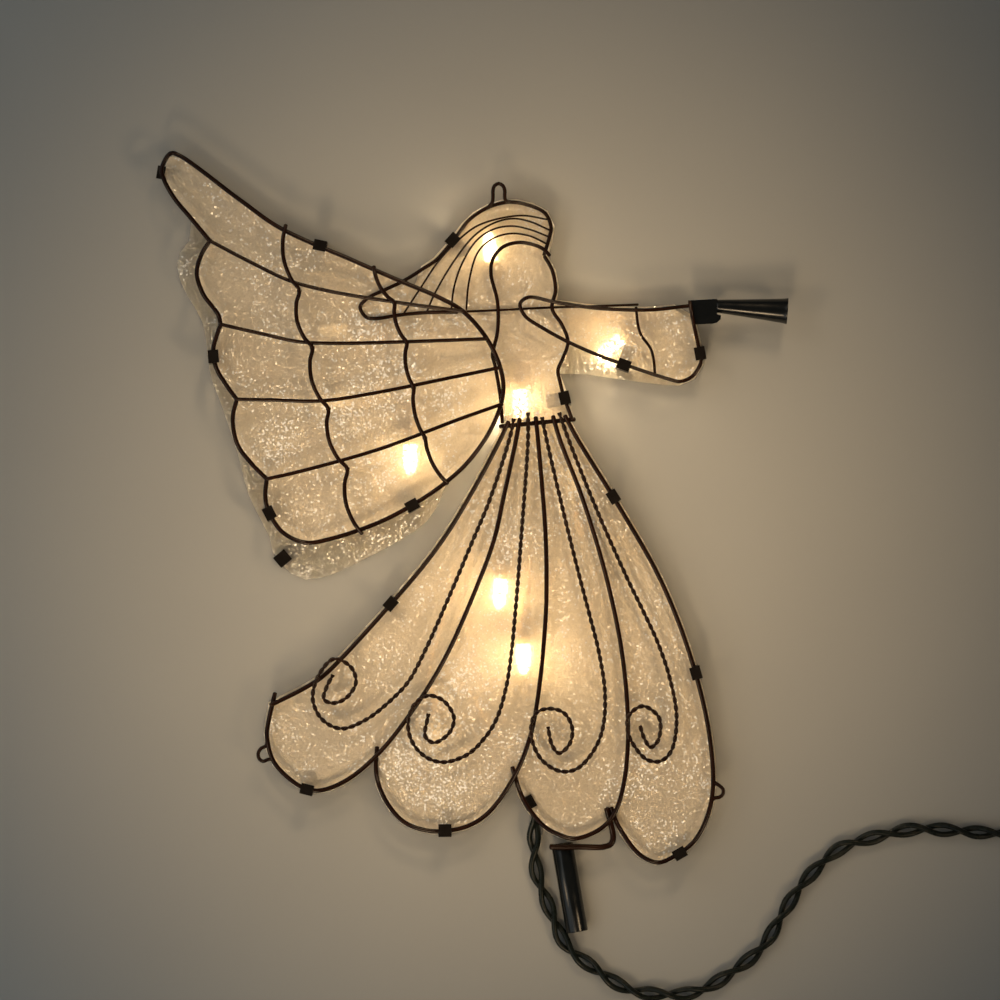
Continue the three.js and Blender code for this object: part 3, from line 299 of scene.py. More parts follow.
class Shell:
    """Points and faces of a mesh under way, with each face's material."""

    def __init__(self):
        self.points = []
        self.faces = []
        self.marks = []

    def ring_strip(self, rings, mark=0, closed=False):
        """Faces between rings of equally many points, with a face over each end unless the rings close."""
        first = len(self.points)
        sides = len(rings[0])
        for ring in rings:
            self.points.extend(ring)
        spans = len(rings) if closed else len(rings) - 1
        for i in range(spans):
            a = first + i * sides
            b = first + ((i + 1) % len(rings)) * sides
            for k in range(sides):
                n = (k + 1) % sides
                self.add((a + k, a + n, b + n, b + k), mark)
        if not closed:
            self.add(tuple(first + k for k in reversed(range(sides))), mark)
            last = first + (len(rings) - 1) * sides
            self.add(tuple(last + k for k in range(sides)), mark)

    def add(self, face, mark):
        self.faces.append(face)
        self.marks.append(mark)

    def tube(self, line, radius, sides=12):
        """A round bar along a line, with domed ends."""
        made = frames_along(line)
        rings = [self.circle(line[0], made[0], radius, sides, -lean) for lean in reversed(DOME)]
        rings += [self.circle(p, f, radius, sides) for p, f in zip(line, made)]
        rings += [self.circle(line[-1], made[-1], radius, sides, lean) for lean in DOME]
        self.ring_strip(rings)

    @staticmethod
    def circle(centre, made, radius, sides, lean=0):
        """A ring across a line. A lean moves it out along the dome of an end."""
        forward, across, up = made
        shrunk = radius * math.cos(math.radians(lean))
        centre = centre + forward * radius * DOME_REACH * math.sin(math.radians(lean))
        return [centre + (across * math.cos(a) + up * math.sin(a)) * shrunk for a in angles(sides)]

    def bead(self, centre, radius):
        """A small lump of weld metal."""
        latitudes = [math.radians(lat) for lat in BEAD_RINGS]
        profile = [(radius * math.cos(lat), radius * BEAD_FLAT * math.sin(lat)) for lat in latitudes]
        self.lathe(profile, Matrix.Translation(centre), BEAD_SIDES)

    def twisted(self, line, radius, pitch, opened=None, sides=8):
        """Two round strands wound about a line, with eyes where they are opened by more than 1."""
        made = frames_along(line)
        opened = opened or [1.0] * len(line)
        turned = [0.0]
        for a, b in zip(line, line[1:]):
            turned.append(turned[-1] + (b - a).length / pitch * 2 * math.pi)
        for start in (0.0, math.pi):
            path = [
                p + (f[1] * math.cos(t + start) * wide + f[2] * math.sin(t + start)) * radius
                for p, f, t, wide in zip(line, made, turned, opened)
            ]
            self.tube(path, radius, sides)

    def lathe(self, profile, place, sides, mark=0):
        """A turned form, from pairs of radius and height."""
        rings = [[spun(place, radius, height, a) for a in angles(sides)] for radius, height in profile]
        self.ring_strip(rings, mark)

    def hoop(self, profile, place, sides):
        """A turned form whose profile closes on itself, so that it has a bore."""
        rings = [[spun(place, radius, height, a) for radius, height in profile] for a in angles(sides)]
        self.ring_strip(rings, closed=True)

    def piece(self, name, materials, nodes=(), body=BODY):
        """The finished object, on its body and in place of its nodes."""
        mesh = bpy.data.meshes.new(name)
        mesh.from_pydata([tuple(p) for p in self.points], [], self.faces)
        mesh.polygons.foreach_set("material_index", self.marks)
        mesh.polygons.foreach_set("use_smooth", [True] * len(self.faces))
        for material in materials:
            mesh.materials.append(material)
        mesh.update()
        made = bpy.data.objects.new(name, mesh)
        bpy.context.scene.collection.objects.link(made)
        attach(made, body)
        if nodes:
            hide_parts(*nodes)
        return made


def soften(node, material, width, segments=2):
    """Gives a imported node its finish, and edges rounded over a width in millimetres."""
    made = NODES[node]
    made.data.materials.clear()
    made.data.materials.append(material)
    bevel = made.modifiers.new("edges", "BEVEL")
    bevel.width = width * MM
    bevel.segments = segments
    bevel.limit_method = "ANGLE"
    bevel.angle_limit = math.radians(EDGE_ANGLE)
    bevel.harden_normals = True


# Finishes

FLAKES = 1600  # the film's grains along a metre
# White of the flakes, which are glitter and also painted glints
FLAKE_AND_GLINT_COLOUR = (1.0, 0.99, 0.96, 1.0)
FILM_Z = 8.7  # level of the front film, in millimetres
# Round each cluster of painted glints the white flakes stand closer
PAINTED_GLINT_REACH = 14  # how far round a glint the flakes are closer, in millimetres
FILM_CLEAR = {"front": 0.6, "back": 0.9}  # share of the light that goes through a film
NOISE_ROUGHNESS = 0.55
GLASS_WARM = (1.0, 0.93, 0.8)
GLASS_PALE = (1.0, 0.97, 0.9)


def toned(colour, times):
    """A colour made so many times as bright, up to white."""
    return tuple(min(1.0, c * times) for c in colour)


class Finish:
    """A material under way, with its main shader and its coordinates."""

    def __init__(self, name):
        self.material = bpy.data.materials.new(name)
        self.material.use_nodes = True
        self.tree = self.material.node_tree
        self.shader = self.tree.nodes["Principled BSDF"]
        self.where = self.node("ShaderNodeTexCoord").outputs["Object"]

    def node(self, kind, **settings):
        made = self.tree.nodes.new(kind)
        for key, value in settings.items():
            setattr(made, key, value)
        return made

    def link(self, source, target):
        self.tree.links.new(source, target)

    def feed(self, socket, source):
        """Leads a texture to one of the shader's sockets."""
        self.link(source, self.shader.inputs[socket])

    def mottled(self, socket, scale, low, high, detail=4.0):
        """Feeds a socket with patches of noise between two stops."""
        self.feed(socket, self.ramp(self.noise(scale, detail), low, high))

    def set(self, **sockets):
        """Gives sockets their plain values."""
        for key, value in sockets.items():
            self.shader.inputs[key.replace("_", " ")].default_value = value

    def noise(self, scale, detail=4.0):
        """Soft patches, so many to a metre."""
        made = self.node("ShaderNodeTexNoise")
        made.inputs["Scale"].default_value = scale
        made.inputs["Detail"].default_value = detail
        made.inputs["Roughness"].default_value = NOISE_ROUGHNESS
        self.link(self.where, made.inputs["Vector"])
        return made.outputs["Fac"]

    def cells(self, scale):
        """Small cells, each of a colour of its own."""
        made = self.node("ShaderNodeTexVoronoi")
        made.inputs["Scale"].default_value = scale
        self.link(self.where, made.inputs["Vector"])
        return made.outputs["Color"]

    def combined(self, operation, a, b):
        """One value made of two."""
        made = self.node("ShaderNodeMath", operation=operation)
        self.link(a, made.inputs[0])
        self.link(b, made.inputs[1])
        return made.outputs["Value"]

    def gathered(self, places, reach):
        """1 at the nearest of some points, falling to 0 at a reach from it."""
        nearest = None
        for place in places:
            made = self.node("ShaderNodeVectorMath", operation="DISTANCE")
            made.inputs[1].default_value = place
            self.link(self.where, made.inputs[0])
            away = made.outputs["Value"]
            nearest = away if nearest is None else self.combined("MINIMUM", nearest, away)
        scaled = self.node("ShaderNodeMath", operation="DIVIDE")
        scaled.inputs[1].default_value = reach
        self.link(nearest, scaled.inputs[0])
        return self.ramp(scaled.outputs["Value"], (0.0, 1.0), (1.0, 0.0))

    def blended(self, kind, a, b):
        """A colour mixer: its first colour comes from a texture, and its second from one too or is plain."""
        made = self.node("ShaderNodeMix", data_type="RGBA", blend_type=kind)
        self.link(a, made.inputs["A"])
        if isinstance(b, tuple):
            made.inputs["B"].default_value = b
        else:
            self.link(b, made.inputs["B"])
        return made

    def ramp(self, source, *stops):
        """A value turned to tones or colours, by pairs of a place and what is there."""
        made = self.node("ShaderNodeValToRGB")
        elements = made.color_ramp.elements
        while len(elements) < len(stops):
            elements.new(0.5)
        for element, (place, colour) in zip(elements, stops):
            element.position = place
            tone = colour if isinstance(colour, tuple) else (colour,) * 3
            element.color = (*tone, 1.0)
        self.link(source, made.inputs["Fac"])
        return made.outputs["Color"]

    def bump(self, scale, detail, strength, distance):
        """A fine unevenness of the surface."""
        made = self.node("ShaderNodeBump")
        made.inputs["Strength"].default_value = strength
        made.inputs["Distance"].default_value = distance
        self.link(self.noise(scale, detail), made.inputs["Height"])
        self.feed("Normal", made.outputs["Normal"])


def enamelled_wire(colour):
    """Dark bronze enamel on wire: brown where it is thin, with fine runs and a hard gloss."""
    finish = Finish("wire_enamel")
    finish.mottled("Base Color", 90, (0.42, tuple(colour)), (0.78, toned(colour, 2.2)))
    finish.mottled("Roughness", 420, (0.3, 0.12), (0.75, 0.2))
    finish.set(Specular_IOR_Level=0.16)
    finish.bump(900, 3.0, strength=0.06, distance=0.0002)
    return finish.material


def glitter_film(name, pale, deep, clear):
    """Frosted film of fine grains, with white flakes in drifts that are glitter and painted glints both, under
    facets that lean every way.
    """
    finish = Finish(name)
    grains = finish.cells(FLAKES)
    spread = finish.node("ShaderNodeSeparateColor")
    finish.link(grains, spread.inputs["Color"])
    # A grain with much red is a white flake, which is glitter and a painted glint both, and less is enough in
    # a drift or near a cluster of painted glints
    drift = finish.ramp(finish.noise(70, 3.0), (0.38, 0.88), (0.62, 1.0))
    painted_glints = finish.gathered([point(x, y, FILM_Z) for x, y in PAINTED_GLINT_SPOTS], PAINTED_GLINT_REACH * MM)
    near = finish.ramp(painted_glints, (0.0, 0.0), (1.0, 0.26))
    chance = finish.combined("MULTIPLY", finish.combined("ADD", drift, near), spread.outputs["Red"])
    flake_and_glint_mask = finish.ramp(chance, (0.86, 0.0), (0.94, 1.0))
    # The other grains differ a little in tone, by their green
    cloud = finish.ramp(finish.noise(26, 5.0), (0.3, pale), (0.75, deep))
    grain = finish.blended("MULTIPLY", cloud, finish.ramp(spread.outputs["Green"], (0.0, 0.87), (0.85, 1.0)))
    grain.inputs["Factor"].default_value = 1.0
    # Painted glints: the white flakes are laid over the film's own tone
    mixed = finish.blended("MIX", grain.outputs["Result"], FLAKE_AND_GLINT_COLOUR)
    finish.link(flake_and_glint_mask, mixed.inputs["Factor"])
    finish.feed("Base Color", mixed.outputs["Result"])
    finish.feed("Transmission Weight", finish.ramp(flake_and_glint_mask, (0.0, clear), (1.0, 0.0)))
    finish.mottled("Roughness", 180, (0.3, 0.47), (0.7, 0.57))
    # The coat's facets lean by the grains' colours
    lean = finish.node("ShaderNodeVectorMath", operation="SUBTRACT")
    lean.inputs[1].default_value = (0.5, 0.5, 0.5)
    finish.link(grains, lean.inputs[0])
    tilted = finish.node("ShaderNodeVectorMath", operation="ADD")
    finish.link(finish.node("ShaderNodeNewGeometry").outputs["Normal"], tilted.inputs[0])
    finish.link(lean.outputs["Vector"], tilted.inputs[1])
    level = finish.node("ShaderNodeVectorMath", operation="NORMALIZE")
    finish.link(tilted.outputs["Vector"], level.inputs[0])
    finish.feed("Coat Normal", level.outputs["Vector"])
    finish.set(IOR=1.3, Specular_IOR_Level=0.5, Coat_Weight=1.0, Coat_Roughness=0.16)
    return finish.material


def moulded(name, colour, rough, grain, gloss):
    """Moulded plastic: a slightly uneven tone and a fine moulded grain."""
    finish = Finish(name)
    finish.mottled("Base Color", 140, (0.3, tuple(colour)), (0.8, toned(colour, 1.6)))
    finish.mottled("Roughness", 300, (0.3, rough - 0.08), (0.7, rough + 0.08))
    finish.set(Specular_IOR_Level=gloss)
    finish.bump(2400, 2.0, strength=grain, distance=0.0001)
    return finish.material


def black_paint(colour):
    """Satin black paint on metal, with a faint brushed lie under it."""
    finish = Finish("black_paint")
    finish.mottled("Base Color", 60, (0.4, tuple(colour)), (0.85, toned(colour, 1.8)))
    finish.mottled("Roughness", 260, (0.3, 0.16), (0.7, 0.26))
    finish.set(Specular_IOR_Level=0.4)
    finish.bump(1500, 3.0, strength=0.06, distance=0.0001)
    return finish.material


def lit_glass(name, glow, strength):
    """Warm lamp glass that glows unevenly."""
    finish = Finish(name)
    finish.set(Roughness=0.15, Specular_IOR_Level=0.5, Emission_Strength=strength)
    finish.mottled("Base Color", 120, (0.3, GLASS_WARM), (0.7, GLASS_PALE), detail=2.0)
    finish.mottled("Emission Color", 200, (0.3, tuple(glow)), (0.8, toned(glow, 0.85)), detail=2.0)
    return finish.material


def brass(dull, bright):
    """Stamped brass, with fine draw lines."""
    finish = Finish("blade_brass")
    finish.mottled("Base Color", 70, (0.3, tuple(dull)), (0.8, tuple(bright)))
    finish.mottled("Roughness", 500, (0.3, 0.2), (0.7, 0.34))
    finish.set(Metallic=1.0)
    finish.bump(1200, 2.0, strength=0.05, distance=0.0001)
    return finish.material


def table_top(colour):
    """Matt pale table top."""
    finish = Finish("table_top")
    finish.mottled("Base Color", 5, (0.3, tuple(colour)), (0.75, toned(colour, 0.93)), detail=3.0)
    finish.set(Roughness=0.6, Specular_IOR_Level=0.3)
    return finish.material


# Properties


def colour_property(name, description, default):
    return bpy.props.FloatVectorProperty(
        name=name, description=description, default=default, subtype="COLOR", size=3, min=0.0, max=1.0)


def length_property(name, description, millimetres):
    return bpy.props.FloatProperty(
        name=name, description=description, default=millimetres * MM, min=0.0001, unit="LENGTH", precision=4)


def level_property(name, description, default, unit="NONE"):
    return bpy.props.FloatProperty(name=name, description=description, default=default, min=0.0, unit=unit)


class TopperSizes(bpy.types.PropertyGroup):
    """Diameters of the wires and of the lead's strands."""

    frame_wire: length_property("Frame wire", "Diameter of the wing's and the skirt's wires", 1.8)
    rib_wire: length_property("Rib wire", "Diameter of the wing's ribs", 1.5)
    cross_wire: length_property("Cross wire", "Diameter of the wing's cross wires", 1.65)
    head_wire: length_property("Head wire", "Diameter of the hair, face and sleeve", 1.5)
    cuff_wire: length_property("Cuff wire", "Diameter of the sleeve's cuff", 1.15)
    strand_wire: length_property("Strand", "Diameter of the hair strands", 0.8)
    shoulder_wire: length_property("Shoulder wire", "Diameter of the shoulder", 1.0)
    loop_wire: length_property("Loop wire", "Diameter of the hanging loop and the eyelets", 1.5)
    bracket_wire: length_property("Bracket wire", "Diameter of the socket's bracket", 2.4)
    scroll_wire: length_property("Scroll", "Width over a scroll's two strands", 1.8)
    scroll_pitch: length_property("Scroll pitch", "Length of one full twist of a scroll", 6.2)
    cord: length_property("Lead", "Width over the lead's two strands", CORD_DIAMETER)
    cord_pitch: length_property("Lead pitch", "Length of one full twist of the lead", 28.8)
    weld: length_property("Weld", "Radius of a weld bead", 1.05)


class TopperColours(bpy.types.PropertyGroup):
    """Colours of the finishes."""

    wire: colour_property("Wire", "Dark bronze enamel", (0.011, 0.004, 0.0018))
    film: colour_property("Film", "Frosted film", (0.93, 0.83, 0.66))
    film_deep: colour_property("Film, deep", "Frosted film where it is thicker", (0.87, 0.76, 0.58))
    film_back: colour_property("Film, back", "Clearer film at the back", (0.92, 0.88, 0.78))
    clip: colour_property("Clip", "Film clips", (0.0055, 0.004, 0.003))
    black: colour_property("Black", "Horn and socket tube", (0.0035, 0.004, 0.004))
    cable: colour_property("Cable", "Lead and plug", (0.0045, 0.0065, 0.005))
    holder: colour_property("Holder", "Lamp holders and their wiring", (0.3, 0.21, 0.11))
    lamp_base: colour_property("Lamp base", "Push-in base of a lamp", (0.55, 0.5, 0.4))
    blade: colour_property("Blade", "Brass of the plug's blades", (0.72, 0.56, 0.28))
    blade_bright: colour_property("Blade, bright", "Brass where it is rubbed", (0.86, 0.72, 0.42))
    table: colour_property("Table", "Table top", (0.33, 0.33, 0.315))


class TopperLamps(bpy.types.PropertyGroup):
    """Glow of the small lamps and level of the studio lights."""

    glow: colour_property("Glow", "Colour of a lit lamp", (1.0, 0.76, 0.46))
    bright: level_property("Bright", "Glow of a bright lamp", 520.0)
    soft: level_property("Soft", "Glow of a half-hidden lamp", 150.0)
    faint: level_property("Ends", "Glow of a lit lamp's two ends", 30.0)
    dim: level_property("Dim", "Glow of a dim lamp", 0.6)
    pool: level_property("Pool", "Power of each warm light on the figure", 18.5, "POWER")
    side: level_property("Side", "Power of each soft light beside the table", 1.4, "POWER")
    fill: level_property("Fill", "Level of the light all round", 0.06)


def sizes():
    return bpy.context.scene.topper_sizes


def colours():
    return bpy.context.scene.topper_colours


def lamps():
    return bpy.context.scene.topper_lamps


def finish_of(name, make):
    """A finish that is made once and shared."""
    return bpy.data.materials.get(name) or make()


def wire_finish():
    return finish_of("wire_enamel", lambda: enamelled_wire(colours().wire))


def film_finish(side):
    """The front film is milky, and the back film clearer and paler."""
    tones = colours()
    pale, deep = (tones.film, tones.film_deep) if side == "front" else (tones.film_back, tones.film)
    name = f"film_{side}"
    return finish_of(name, lambda: glitter_film(name, tuple(pale), tuple(deep), FILM_CLEAR[side]))


def plastic_finish(name, colour, rough, grain, gloss):
    return finish_of(name, lambda: moulded(name, colour, rough, grain, gloss))


def clip_finish():
    return plastic_finish("clip_plastic", colours().clip, rough=0.36, grain=0.12, gloss=0.14)


def cable_finish():
    return plastic_finish("cable_plastic", colours().cable, rough=0.3, grain=0.08, gloss=0.18)


def black_finish():
    return finish_of("black_paint", lambda: black_paint(colours().black))


def glass_finish(glow):
    """Glass of a lamp that glows as one of the lamps' properties says."""
    name = f"lamp_glass_{glow}"
    return finish_of(name, lambda: lit_glass(name, lamps().glow, getattr(lamps(), glow)))


# Wires

WIRE_STEP = 1.0 * MM
SCROLL_STEP = 0.4 * MM
RIB_WELD_RISE = 0.7  # of the wing's weld beads over its ribs, in millimetres
BOW_STEPS = (0, 0.2, 0.5, 0.8)  # shares of a bow's width at which it has points


def bent_wires(name, node, strokes, welds=()):
    """One piece of round wires: strokes of points, level and diameter, with weld beads."""
    shell = Shell()
    for points, level, diameter in strokes:
        shell.tube(spline(lifted(points, level), WIRE_STEP), diameter / 2)
    for x, y, z in welds:
        shell.bead(point(x, y, z), sizes().weld)
    shell.piece(name, [wire_finish()], [node])


def scalloped(bow, cusps):
    """A row of bows between cusps, with its two ends brought down to the outline's front."""
    points = []
    for a, b in zip(cusps, cusps[1:]):
        start, run = Vector(a), Vector(b) - Vector(a)
        side = Vector((run.y, -run.x)).normalized()
        for t in BOW_STEPS:  # along a parabola
            at = start + run * t + side * 4 * bow * t * (1 - t)
            points.append((at.x, at.y, CROSS_RISE))
    points.append((*cusps[-1], 0.0))
    points[0] = (*cusps[0], 0.0)
    return points


class TOPPER_OT_wing(bpy.types.Operator):
    """Make the wing's outline, ribs and cross wires"""

    bl_idname = "topper.wing"
    bl_label = "Wing wires"

    def execute(self, context):
        size = sizes()
        outline = [(stroke, WING_Z, size.frame_wire) for stroke in (WING_MAIN, *FEATHERS)]
        bent_wires("wing_outline", "wing_outline_wire", outline, [(x, y, WING_Z) for x, y in CUSPS])
        grid = [(rib, RIB_Z, size.rib_wire) for rib in RIBS]
        grid += [(scalloped(bow, cusps), RIB_Z, size.cross_wire) for bow, cusps in CROSS_WIRES]
        joins = [(x, y, RIB_Z + RIB_WELD_RISE) for _, cusps in CROSS_WIRES for x, y in cusps[1:-1]]
        bent_wires("wing_grid", "wing_rib_grid", grid, joins)
        return {"FINISHED"}


class TOPPER_OT_head(bpy.types.Operator):
    """Make the hair, face, shoulder and sleeve wires"""

    bl_idname = "topper.head"
    bl_label = "Head and sleeve wires"

    def execute(self, context):
        size = sizes()
        hair = [(HAIR, HAIR_Z, size.head_wire), (HANGING_LOOP, LOOP_Z, size.loop_wire)]
        hair += [(strand, STRAND_Z, size.strand_wire) for strand in STRANDS]
        bent_wires("hair_wires", "hair_frame", hair)
        bent_wires("face_back", "face_back_wire", [(FACE_BACK, FOLD_Z, size.head_wire)])
        bent_wires("face_front", "face_front_wire", [(FACE_FRONT, FOLD_Z, size.head_wire)])
        bent_wires("shoulder", "shoulder_wire", [(SHOULDER, SHOULDER_Z, size.shoulder_wire)])
        sleeve = [(SLEEVE, SLEEVE_Z, size.head_wire), (CUFF, CUFF_Z, size.cuff_wire)]
        bent_wires("sleeve", "sleeve_frame", sleeve)
        return {"FINISHED"}


class TOPPER_OT_skirt(bpy.types.Operator):
    """Make the waist bar, the skirt's folds and their eyelets"""

    bl_idname = "topper.skirt"
    bl_label = "Skirt wires"

    def execute(self, context):
        size = sizes()
        bent_wires("waist", "waist_bar", [(WAIST, WAIST_Z, size.frame_wire)])
        bent_wires("skirt_left", "skirt_left_wire", [(SKIRT_LEFT, FOLD_Z, size.frame_wire)])
        for node, points in FOLDS.items():
            strokes = [(points, FOLD_Z, size.frame_wire)]
            if node in EYELETS:
                strokes.append((EYELETS[node], FOLD_Z, size.loop_wire))
            bent_wires(node.replace("_wire", "") + "_bent", node, strokes)
        return {"FINISHED"}


class TOPPER_OT_scrolls(bpy.types.Operator):
    """Make the four scrolls, each of two thin wires twisted together"""

    bl_idname = "topper.scrolls"
    bl_label = "Twisted scrolls"

    def execute(self, context):
        size = sizes()
        climb = SCROLL_Z - SCROLL_LOW_Z
        for i, points in enumerate(SCROLLS):
            raised = [(x, y, climb * min(1.0, k / SCROLL_RISE)) for k, (x, y) in enumerate(points)]
            shell = Shell()
            line = spline(lifted(raised, SCROLL_LOW_Z), SCROLL_STEP)
            shell.twisted(line, size.scroll_wire / 4, size.scroll_pitch)
            shell.piece(f"scroll_{i + 1}_twisted", [wire_finish()], [f"scroll_{i + 1}"])
        return {"FINISHED"}


# Film and clips


class TOPPER_OT_film(bpy.types.Operator):
    """Finish the four sheets of glitter film"""

    bl_idname = "topper.film"
    bl_label = "Glitter film"

    def execute(self, context):
        for side in ("front", "back"):
            for part in ("wing", "body"):
                soften(f"{part}_{side}_film", film_finish(side), width=0.08, segments=1)
        return {"FINISHED"}


class TOPPER_OT_clips(bpy.types.Operator):
    """Finish the film clips"""

    bl_idname = "topper.clips"
    bl_label = "Film clips"

    def execute(self, context):
        for node in sorted(NODES):
            if node.startswith("film_clip_"):
                soften(node, clip_finish(), width=0.18)
        return {"FINISHED"}


# Lamps, with turned profiles of radius and height from the holder's mouth, in millimetres

HOLDER_PROFILE = (
    (0.3, -14), (1.5, -14), (1.9, -13.4), (3.0, -8.4), (3.2, -7.8), (3.2, -6.6), (2.95, -6.4), (2.95, -5.6),
    (3.2, -5.4), (3.2, -4.4), (2.95, -4.2), (2.95, -3.4), (3.2, -3.2), (3.2, -0.3), (3.05, 0), (2.4, 0),
    (2.3, -0.3), (2.3, -7.3), (0.3, -7.3),
)
LAMP_BASE_PROFILE = (
    (0.3, -7), (1.9, -7), (2.0, -6.8), (2.0, 0.3), (2.6, 0.4), (2.68, 0.8), (2.68, 3.4), (2.3, 3.8),
    (0.3, 3.8),
)
GLASS_FOOT_PROFILE = ((0.3, 3.9), (2.3, 3.9), (2.6, 4.2), (2.7, 5.0), (2.7, 6.2), (0.3, 6.2))
GLASS_PROFILE = ((0.3, 6.2), (2.7, 6.2), (2.7, 8.5), (2.7, 10.6), (2.6, 11.6), (0.3, 11.6))
GLASS_TIP_PROFILE = (
    (0.3, 11.6), (2.6, 11.6), (2.55, 12.0), (2.2, 13.4), (1.6, 14.7), (0.9, 15.5), (0.3, 15.9),
)
LAMP_SIDES = 28
TAIL_REACH = 12.0  # from a holder's mouth to where its wiring goes in, in millimetres
WIRING_RADIUS = 0.5 * MM
WIRING_PITCH = 11 * MM
WIRING_STEP = 0.8 * MM


def tail_of(x, y, points):
    """Where the wiring goes into a holder's tail, in the drawing."""
    return (x - TAIL_REACH * math.cos(math.radians(points)), y - TAIL_REACH * math.sin(math.radians(points)))


class TOPPER_OT_lamps(bpy.types.Operator):
    """Make the ten lit lamps, their holders and the wiring between them"""

    bl_idname = "topper.lamps"
    bl_label = "Lamps and wiring"

    def execute(self, context):
        holder = plastic_finish("lamp_holder", colours().holder, rough=0.4, grain=0.05, gloss=0.3)
        base = plastic_finish("lamp_base", colours().lamp_base, rough=0.4, grain=0.05, gloss=0.5)
        string = Shell()
        for i, (x, y, points) in enumerate(LAMPS):
            place = pointing(point(x, y, LAMP_Z), points)
            shell = Shell()
            shell.lathe(LAMP_BASE_PROFILE, place, LAMP_SIDES, mark=1)
            shell.lathe(GLASS_PROFILE, place, LAMP_SIDES, mark=0)
            shell.lathe(GLASS_FOOT_PROFILE, place, LAMP_SIDES, mark=2)
            shell.lathe(GLASS_TIP_PROFILE, place, LAMP_SIDES, mark=2)
            glow = "dim" if i in DIM_LAMPS else "soft" if i in SOFT_LAMPS else "bright"
            finishes = [glass_finish(glow), base, glass_finish("dim" if glow == "dim" else "faint")]
            number = f"{i + 1:02d}"
            shell.piece(f"lamp_{number}_glass", finishes, [f"bulb_{number}"], f"lamp_{number}")
            string.lathe(HOLDER_PROFILE, place, LAMP_SIDES)
        runs = [(tail_of(*LAMPS[a]), by, tail_of(*LAMPS[b])) for a, b, by in WIRING]
        runs.append((tail_of(*LAMPS[-1]), STRING_EXIT_BY, STRING_EXIT))
        for start, by, end in runs:
            line = spline(lifted((start, *by, end), LAMP_Z), WIRING_STEP)
            string.twisted(line, WIRING_RADIUS, WIRING_PITCH)
        string.piece("light_string_wired", [holder], ["light_string"])
        return {"FINISHED"}


# Horn and socket

HORN_PROFILE = (
    (0.3, -0.6), (2.5, -0.6), (2.6, 0), (3.35, 9), (4.2, 18.4), (4.95, 26.2), (5.15, 27.3), (5.3, 27.7),
    (5.2, 27.9), (4.9, 27.9), (4.6, 27.5), (4.2, 24.5), (3.5, 20), (2.8, 15.1), (0.3, 14.9),
)
HORN_SIDES = 56
TUBE_PROFILE = (
    (3.8, 0.35), (3.95, 0.05), (4.25, 0.05), (4.4, 0.35), (4.4, 35.65), (4.25, 35.95), (3.95, 35.95),
    (3.8, 35.65),
)
TUBE_SIDES = 48


class TOPPER_OT_horn(bpy.types.Operator):
    """Make the horn and finish its block"""

    bl_idname = "topper.horn"
    bl_label = "Horn"

    def execute(self, context):
        soften("horn_block", black_finish(), width=0.7, segments=3)
        shell = Shell()
        shell.lathe(HORN_PROFILE, pointing(point(*HORN_THROAT), HORN_TILT), HORN_SIDES)
        shell.piece("horn_bell", [black_finish()], ["horn"])
        return {"FINISHED"}


class TOPPER_OT_socket(bpy.types.Operator):
    """Make the socket tube and its bracket"""

    bl_idname = "topper.socket"
    bl_label = "Socket"

    def execute(self, context):
        bent_wires("bracket", "socket_bracket", [(BRACKET, BRACKET_Z, sizes().bracket_wire)])
        shell = Shell()
        shell.hoop(TUBE_PROFILE, pointing(point(*TUBE_TOP, TUBE_Z), TUBE_TILT - 90), TUBE_SIDES)
        shell.piece("socket_tube_rolled", [black_finish()], ["socket_tube"])
        return {"FINISHED"}


# Lead and plug

LEAD_STEP = 1.5 * MM
LEAD_SIDES = 12
COIL_STEPS = 96  # in one turn
TAIL_STEP = 2  # of the straight tail, in millimetres
# The lead's eyes: how far the strands stand apart, and where along the lead they open and close again
EYE_WIDTH = 0.62
EYE_START = 8 * MM
EYE_OPENING = 8 * MM
EYE_END = 300 * MM
EYE_CLOSING = 50 * MM
# The strain relief: a tapered sleeve with grooves, from the plug's back along the lead
BOOT_PROFILE = (
    (2.4, -20), (2.9, -20), (3.1, -19.6), (3.3, -16.6), (2.9, -16.4), (2.95, -15.2), (3.45, -15), (3.75, -12),
    (3.3, -11.8), (3.35, -10.6), (3.9, -10.4), (4.25, -7.4), (3.75, -7.2), (3.8, -6), (4.4, -5.8),
    (4.8, -2.6), (5.3, -1), (5.8, 0.2), (2.4, 0.2),
)
BOOT_SIDES = 32
# The ridges on each side of the plug, the first one so far from its back
RIDGE_PROFILE = ((0.1, -5), (0.5, -4.9), (0.7, -4.5), (0.7, 4.5), (0.5, 4.9), (0.1, 5))
RIDGE_SIDES = 16
RIDGE_COUNT = 5
RIDGE_START = 3.6
RIDGE_GAP = 2.4


def coil_point(turn):
    """A point of the coil, so many turns from its start: it winds in, climbs a layer and winds out."""
    radius = COIL_RADIUS - COIL_PITCH * min(turn, COIL_TURNS - turn)
    climbed = clamped((turn - COIL_TURNS / 2) * 2 + 0.5)
    angle = 2 * math.pi * turn - math.pi / 2
    return point(
        COIL_START[0] + radius * math.cos(angle),
        COIL_START[1] + COIL_RADIUS + radius * math.sin(angle),
        COIL_Z + climbed * COIL_LAYER,
    )


def eye_at(run):
    """How far the strands are opened: eyes open after the lead leaves the hem, and close before the coil."""
    opened = clamped((run - EYE_START) / EYE_OPENING)
    return 1.0 + EYE_WIDTH * opened * clamped((EYE_END - run) / EYE_CLOSING)


def grip_ridges():
    """Rounded grip ridges on the plug's two sides, near its back."""
    low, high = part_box("plug_body")
    shell = Shell()
    for side in (low.y, high.y):
        for k in range(RIDGE_COUNT):
            at = Vector((low.x + (RIDGE_START + RIDGE_GAP * k) * MM, side, (low.z + high.z) / 2))
            shell.lathe(RIDGE_PROFILE, Matrix.Translation(at) @ Matrix.Scale(MM, 4), RIDGE_SIDES)
    return shell.piece("plug_grip_ridges", [cable_finish()])


